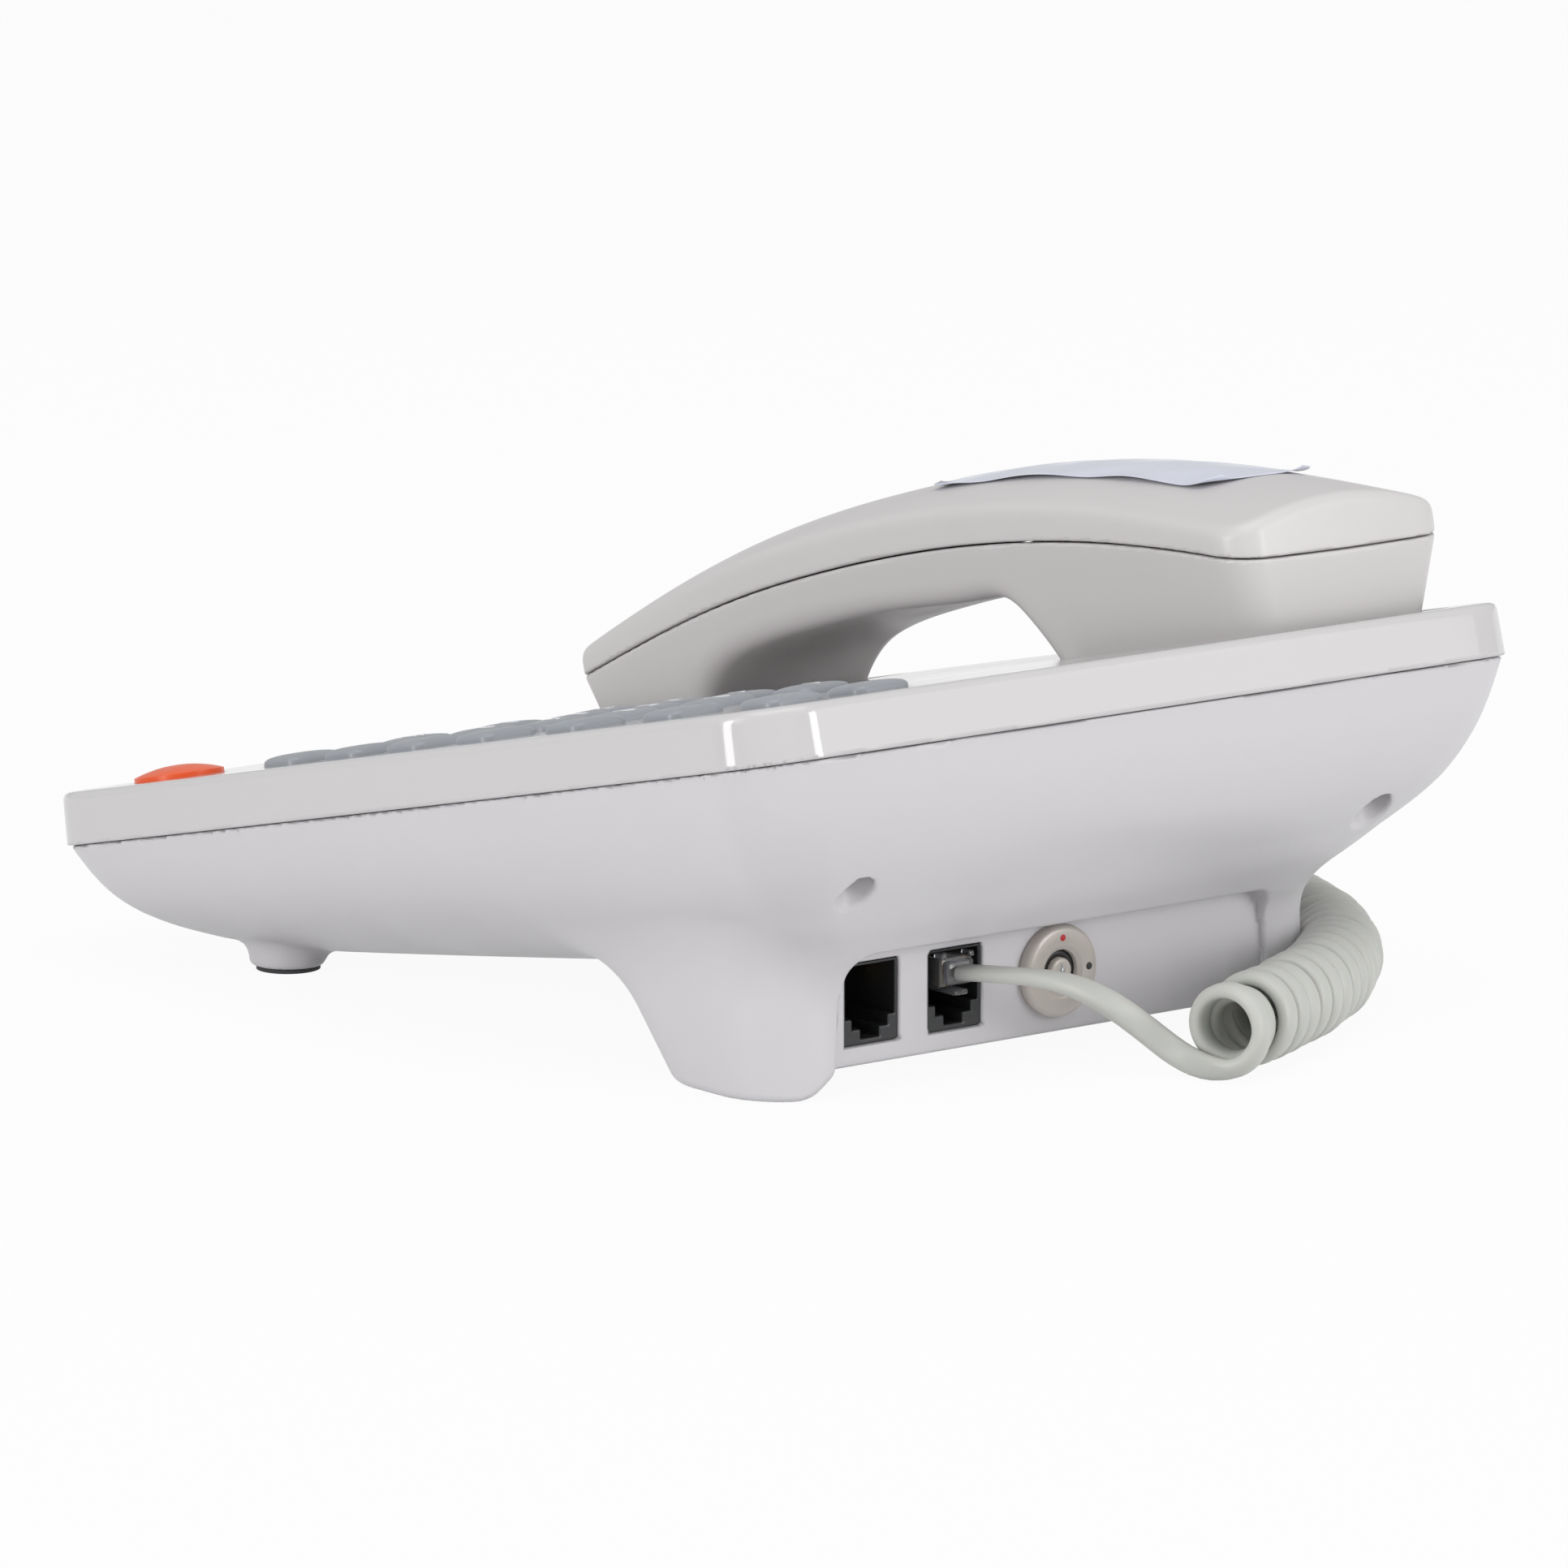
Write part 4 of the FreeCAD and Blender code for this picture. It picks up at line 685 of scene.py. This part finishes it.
def jack_field(middle):
    def field(x, y, z):
        across = np.abs(x - middle)
        block = box_field(x, y, z, (middle - 6.4, JACK_FACE - 18.5, 8.6), (middle + 6.4, JACK_FACE, 23.9))
        slots = np.minimum(np.maximum(across - 5.8, np.abs(z - 18.4) - 4.9),
                           np.maximum(across - 4.2, np.abs(z - 12.8) - 1.3))
        slots = np.minimum(slots, np.maximum(across - 2.2, np.abs(z - 11.2) - 1.6))
        slots = np.maximum(slots, JACK_FACE - 15.5 - y)
        return soft_max(block, -slots, 0.35)
    return field


jacks = []
for node, middle in zip(("line_jack", "cord_jack"), SOCKETS):
    jack = shell_piece(f"{node}_housing", jack_field(middle), (middle - 7, JACK_FACE - 19.2, 8.0),
                       (middle + 7, JACK_FACE + 0.6, 24.5), 0.32, 0.5)
    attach(jack, "base")
    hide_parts(node)
    jacks.append(jack)


def bar(low, high, chamfer):
    """Points and faces of a box with small chamfers, corners in mm."""
    low, high = np.array(low, float), np.array(high, float)
    middle, half = (low + high) / 2, (high - low) / 2
    cut = min(chamfer, half.min() * 0.9)
    step = cut * 0.4
    loops = [rounded_loop(half[0] - i, half[1] - i, max(cut, 0.02), 4) + middle[:2] for i in (step, 0, 0, step)]
    points, faces = stacked(loops, [low[2], low[2] + step, high[2] - step, high[2]])
    points[-1] = [*middle[:2], high[2]]
    return points, faces


def joined(name, parts):
    """One mesh from several (points, faces) pairs, in mm."""
    points, faces, base = [], [], 0
    for part_points, part_faces in parts:
        points.append(part_points)
        faces += [tuple(i + base for i in face) for face in part_faces]
        base += len(part_points)
    return add_mesh(name, np.concatenate(points) * MM, faces)


def plug_parts(middle, face, level):
    """A clear modular plug seen from its cord end: body, collar round the cord and sprung latch."""
    body = [bar((middle - 3.85, face - 12.5, level - 2.7), (middle + 3.85, face - 1.2, level + 2.7), 0.5),
            bar((middle - 3.1, face - 1.6, level - 2.1), (middle + 3.1, face + 0.2, level + 2.1), 0.5),
            bar((middle - 3.85, face - 3.2, level + 2.5), (middle - 2.6, face - 0.6, level + 3.4), 0.3),
            bar((middle + 2.6, face - 3.2, level + 2.5), (middle + 3.85, face - 0.6, level + 3.4), 0.3),
            bar((middle - 1.6, face - 11.5, level - 4.3), (middle + 1.6, face + 0.3, level - 3.3), 0.3)]
    gold = [bar((middle + (n - 1.5) * 1.02 - 0.16, face - 12.3, level - 2.3),
                (middle + (n - 1.5) * 1.02 + 0.16, face - 9.4, level + 1.9), 0.1) for n in range(4)]
    return body, gold


body, gold = plug_parts(SOCKETS[1], 83.4, 19.6)
base_plug = joined("clear_plug", body)
plug_blades = joined("plug_blades", gold)
for piece in (base_plug, plug_blades):
    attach(piece, "base")
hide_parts("base_plug")


def turned(profile, count=64):
    """A ring turned about the lock's axis from (radius, way back) pairs, closed on itself."""
    turn = np.arange(count) * 2 * np.pi / count
    points = np.array([(LOCK_X + radius * c, way, LOCK_Z + radius * s) for radius, way in profile
                       for c, s in zip(np.cos(turn), np.sin(turn))])
    rings = len(profile)
    faces = []
    for ring in range(rings):
        a, b = ring * count, (ring + 1) % rings * count
        faces += [(a + i, a + (i + 1) % count, b + (i + 1) % count, b + i) for i in range(count)]
    return points, faces


lock_ring = joined("lock_flange", [turned([
    (3.98, 66.0), (6.4, 66.0), (6.4, 81.6), (8.75, 81.7), (8.8, 83.0), (8.62, 83.75), (8.1, 84.2), (7.4, 84.35),
    (5.0, 84.4), (4.75, 84.3), (4.6, 84.05), (4.3, 83.9), (3.98, 83.7)])])
lock_core = joined("lock_post", [turned([
    (0.02, 64.0), (3.9, 64.0), (3.9, 79.0), (2.5, 79.0), (2.48, 83.7), (2.3, 84.0), (1.9, 84.1), (0.02, 84.12)])])
# Dark ring that fills the groove round the post: painted shade for the keyway's shadow, not a part of the lock.
keyway = joined("lock_keyway", [turned([(2.52, 79.1), (3.86, 79.1), (3.86, 82.9), (2.52, 82.9)])])
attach(keyway, "lock_core")
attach(lock_ring, "base")
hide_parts("lock_barrel")
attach(lock_core, "lock_core")
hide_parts("lock_core")


DOT_SIDES = 20


def lock_dot(name, angle, radius=6.35, size=0.62):
    """A small painted dot, slightly raised, on the flange."""
    middle = (LOCK_X + radius * math.sin(angle), LOCK_Z + radius * math.cos(angle))
    turn = np.arange(DOT_SIDES) * 2 * np.pi / DOT_SIDES
    loops = [(size, 84.1), (size, 84.42), (size * 0.75, 84.47)]
    points = [(middle[0] + r * c, y, middle[1] + r * s) for r, y in loops for c, s in zip(np.cos(turn), np.sin(turn))]
    points += [(middle[0], 84.1, middle[1]), (middle[0], 84.48, middle[1])]
    steps = [(i, (i + 1) % DOT_SIDES) for i in range(DOT_SIDES)]
    faces = [(k + after, k + i, k + DOT_SIDES + i, k + DOT_SIDES + after) for k in (0, DOT_SIDES) for i, after in steps]
    below, above, last = 3 * DOT_SIDES, 3 * DOT_SIDES + 1, 2 * DOT_SIDES
    faces += [(below, i, after) for i, after in steps] + [(above, last + after, last + i) for i, after in steps]
    return joined(name, [(np.array(points), faces)])


red_dot = lock_dot("lock_mark_red", 0.0)
black_dot = lock_dot("lock_mark_black", math.radians(-88), size=0.7)
ARROW_OUTLINE = ((0.0, 1.5), (-0.95, -0.6), (-0.3, -0.35), (0.35, -1.35))
arrow_points = np.array([(LOCK_X + across, y, LOCK_Z + up) for y in (84.05, 84.16) for across, up in ARROW_OUTLINE])
arrow_sides = [(i, (i + 1) % 4, (i + 1) % 4 + 4, i + 4) for i in range(4)]
arrow = joined("lock_arrow", [(arrow_points, [(0, 1, 2, 3), (7, 6, 5, 4), *arrow_sides])])
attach(red_dot, "base")
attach(black_dot, "base")
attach(arrow, "lock_core")

# ---------------------------------------------------------------- materials


def srgb(r, g, b):
    """A linear colour from 0-255 sRGB values."""
    return tuple(((v / 255 + 0.055) / 1.055) ** 2.4 if v > 10 else v / 255 / 12.92 for v in (r, g, b)) + (1.0,)


def material(name, colour, roughness, *, drift=0.03, drift_scale=18.0, grain=0.0, grain_scale=900.0,
             rough_drift=0.06, **sockets):
    """A moulded finish: a base colour that drifts a little, fine grain in its bump, and uneven gloss."""
    made = bpy.data.materials.new(name)
    made.use_nodes = True
    tree = made.node_tree
    shader = tree.nodes["Principled BSDF"]
    for socket, number in sockets.items():
        shader.inputs[socket.replace("_", " ")].default_value = number
    where = tree.nodes.new("ShaderNodeTexCoord").outputs["Object"]

    def noise(scale, detail, rough=0.5):
        node = tree.nodes.new("ShaderNodeTexNoise")
        tree.links.new(where, node.inputs["Vector"])
        node.inputs["Scale"].default_value = scale
        node.inputs["Detail"].default_value = detail
        node.inputs["Roughness"].default_value = rough
        return node.outputs["Fac"]

    def ramp(value, low, high, start=0.3, stop=0.7):
        node = tree.nodes.new("ShaderNodeMapRange")
        tree.links.new(value, node.inputs["Value"])
        for socket, number in zip(("From Min", "From Max", "To Min", "To Max"), (start, stop, low, high)):
            node.inputs[socket].default_value = number
        return node.outputs["Result"]

    mix = tree.nodes.new("ShaderNodeMix")
    mix.data_type = "RGBA"
    tree.links.new(ramp(noise(drift_scale, 4), 0, 1), mix.inputs["Factor"])
    mix.inputs["A"].default_value = tuple(c * (1 - drift) for c in colour[:3]) + (1,)
    mix.inputs["B"].default_value = tuple(min(c * (1 + drift), 1) for c in colour[:3]) + (1,)
    tree.links.new(mix.outputs["Result"], shader.inputs["Base Color"])
    rough = ramp(noise(drift_scale * 6, 5), roughness - rough_drift, roughness + rough_drift)
    tree.links.new(rough, shader.inputs["Roughness"])
    if grain:
        bump = tree.nodes.new("ShaderNodeBump")
        bump.inputs["Strength"].default_value = grain
        bump.inputs["Distance"].default_value = 0.0001
        tree.links.new(noise(grain_scale, 3), bump.inputs["Height"])
        tree.links.new(bump.outputs["Normal"], shader.inputs["Normal"])
    return made


MATERIALS = {
    "gloss": material("case_gloss", srgb(199, 197, 198), 0.09, rough_drift=0.015, grain=0.05, grain_scale=220,
                      drift=0.012, drift_scale=9),
    "satin": material("case_satin", srgb(209, 207, 210), 0.42, rough_drift=0.04, grain=0.25, grain_scale=2400,
                      drift=0.015, drift_scale=9),
    "handset": material("handset_satin", srgb(204, 201, 201), 0.34, rough_drift=0.04, grain=0.16, grain_scale=2000,
                        drift=0.012, drift_scale=12),
    "key": material("key_rubber", srgb(150, 154, 160), 0.34, grain=0.2, grain_scale=1500, drift=0.05, drift_scale=60,
                    Subsurface_Weight=0.1, Subsurface_Scale=0.002),
    "recall": material("recall_rubber", srgb(236, 92, 38), 0.33, grain=0.15, grain_scale=1500, drift=0.05,
                       drift_scale=60, Subsurface_Weight=0.15, Subsurface_Scale=0.002),
    "rubber": material("foot_rubber", srgb(58, 58, 60), 0.75, grain=0.5, grain_scale=1800, drift=0.1),
    "dark": material("socket_plastic", srgb(38, 39, 41), 0.32, grain=0.15, grain_scale=1500, drift=0.06,
                     drift_scale=80),
    "contact": material("contact_metal", srgb(220, 180, 95), 0.25, Metallic=1.0, drift=0.08, drift_scale=300),
    "steel": material("steel", srgb(176, 178, 182), 0.3, Metallic=1.0, drift=0.06, drift_scale=200, grain=0.1,
                      grain_scale=2500),
    "lock": material("lock_zinc", srgb(190, 183, 177), 0.36, drift=0.03, drift_scale=80, grain=0.3, grain_scale=2600,
                     Metallic=0.15),
    "board": material("board_laminate", srgb(46, 96, 62), 0.4, drift=0.12, drift_scale=60, grain=0.2),
    "cord": material("cord_vinyl", srgb(190, 192, 187), 0.42, drift=0.02, drift_scale=40, grain=0.2, grain_scale=1400,
                     Subsurface_Weight=0.12, Subsurface_Scale=0.003),
    "clear": material("clear_plastic", srgb(232, 234, 238), 0.12, Transmission_Weight=0.92, IOR=1.49, drift=0.02,
                      rough_drift=0.03),
    "film": material("film", srgb(214, 218, 232), 0.22, drift=0.03, drift_scale=30),
    "red": material("red_paint", srgb(190, 30, 34), 0.4, drift=0.05, drift_scale=300),
    # Black for the lock's real black dot; the same colour also darkens the keyway ring as painted shade.
    "black": material("black_paint_and_keyway_shade", srgb(35, 34, 34), 0.5, drift=0.1, drift_scale=300),
    "legend": material("legend_print", srgb(240, 241, 243), 0.5, drift=0.02, drift_scale=200),
}
FINISHES = {
    "gloss": ["upper_shell"],
    "satin": ["lower_shell"],
    "handset": ["handset_top_shell", "handset_lower_shell"],
    "key": list(KEYS),
    "recall": ["recall_button"],
    "rubber": ["foot_pads", "key_mat"],
    "dark": ["line_jack", "cord_jack", "handset_socket", "hook_switch", "lock_switch", "ringer_speaker",
             "earpiece_driver", "microphone"],
    "contact": ["line_jack_contacts", "cord_jack_contacts"],
    "steel": ["case_screws", "keypad_board_screws", "main_board_screws", "hook_spring", "lock_nut", "handset_weight"],
    "lock": ["lock_barrel", "lock_core"],
    "board": ["keypad_board", "main_board", "socket_board"],
    "clear": ["base_plug", "handset_plug"],
    "film": ["handset_film"],
}


def dress(piece, finish):
    piece.data.materials.clear()
    piece.data.materials.append(MATERIALS[finish])
    return piece


for finish, names in FINISHES.items():
    for name in names:
        dress(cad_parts[name], finish)
dress(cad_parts["hook_plunger"], "gloss")
# The black finish covers the real black dot and also the keyway ring of painted shade.
PIECES = {"cord": [cord], "satin": [lower_shell], "gloss": [upper_shell], "handset": [handset_top, handset_low],
          "film": [film], "key": caps, "legend": legends, "dark": jacks, "clear": [base_plug],
          "contact": [plug_blades], "lock": [lock_ring, lock_core], "red": [red_dot],
          "black": [black_dot, keyway], "steel": [arrow]}
for finish, pieces in PIECES.items():
    for piece in pieces:
        dress(piece, finish)

# ---------------------------------------------------------------- floor and light


def stage_material():
    """A pale floor that shows almost white to the camera and keeps soft shadows."""
    made = bpy.data.materials.new("floor_pale")
    made.use_nodes = True
    tree = made.node_tree
    out = tree.nodes["Material Output"]
    tree.nodes.remove(tree.nodes["Principled BSDF"])
    diffuse = tree.nodes.new("ShaderNodeBsdfDiffuse")
    diffuse.inputs["Color"].default_value = (0.72, 0.72, 0.72, 1)
    glow = tree.nodes.new("ShaderNodeEmission")
    glow.inputs["Strength"].default_value = 1.0
    path = tree.nodes.new("ShaderNodeLightPath")
    seen = tree.nodes.new("ShaderNodeMath")
    seen.operation = "MAXIMUM"
    tree.links.new(path.outputs["Is Camera Ray"], seen.inputs[0])
    tree.links.new(path.outputs["Is Transmission Ray"], seen.inputs[1])
    also = tree.nodes.new("ShaderNodeMath")
    also.operation = "MAXIMUM"
    tree.links.new(seen.outputs[0], also.inputs[0])
    tree.links.new(path.outputs["Is Glossy Ray"], also.inputs[1])
    share = tree.nodes.new("ShaderNodeMath")
    share.operation = "MULTIPLY"
    share.inputs[1].default_value = 0.94
    tree.links.new(also.outputs[0], share.inputs[0])
    mix = tree.nodes.new("ShaderNodeMixShader")
    tree.links.new(share.outputs[0], mix.inputs["Fac"])
    tree.links.new(diffuse.outputs[0], mix.inputs[1])
    tree.links.new(glow.outputs[0], mix.inputs[2])
    tree.links.new(mix.outputs[0], out.inputs["Surface"])
    return made


floor = add_mesh("floor", [(-12, -12, 0), (12, -12, 0), (12, 12, 0), (-12, 12, 0)], [(0, 1, 2, 3)], smooth=False)
floor.data.materials.append(stage_material())

world = bpy.data.worlds.new("studio")
bpy.context.scene.world = world
world.use_nodes = True
world.node_tree.nodes["Background"].inputs["Color"].default_value = (1, 1, 1, 1)
world.node_tree.nodes["Background"].inputs["Strength"].default_value = 0.56


def softbox(name, spot, target, width, height, power, spread=180):
    light = bpy.data.objects.new(name, bpy.data.lights.new(name, "AREA"))
    light.data.shape = "RECTANGLE"
    light.data.size, light.data.size_y = width, height
    light.data.energy = power
    light.data.spread = math.radians(spread)
    light.location = spot
    light.rotation_mode = "QUATERNION"
    light.rotation_quaternion = (Vector(target) - Vector(spot)).to_track_quat("-Z", "Y")
    bpy.context.scene.collection.objects.link(light)
    return light


softbox("top_softbox", (0.2, 0.5, 1.6), (0, 0, 0.03), 1.6, 1.2, 9)
softbox("left_softbox", (-1.1, 1.5, 0.7), (0, 0, 0.03), 0.9, 0.9, 4)
softbox("right_softbox", (1.6, 0.2, 0.8), (0, 0, 0.03), 0.9, 0.9, 4)
for side, azimuth, width in (("side", 95.8, 0.22), ("rear", 199.0, 0.22)):
    turn = math.radians(azimuth)
    softbox(f"{side}_strip", (1.2 * math.sin(turn), -1.2 * math.cos(turn), 0.28), (0, 0, 0.09), width, 0.55, 3.4)

bpy.context.scene.view_settings.view_transform = "Standard"
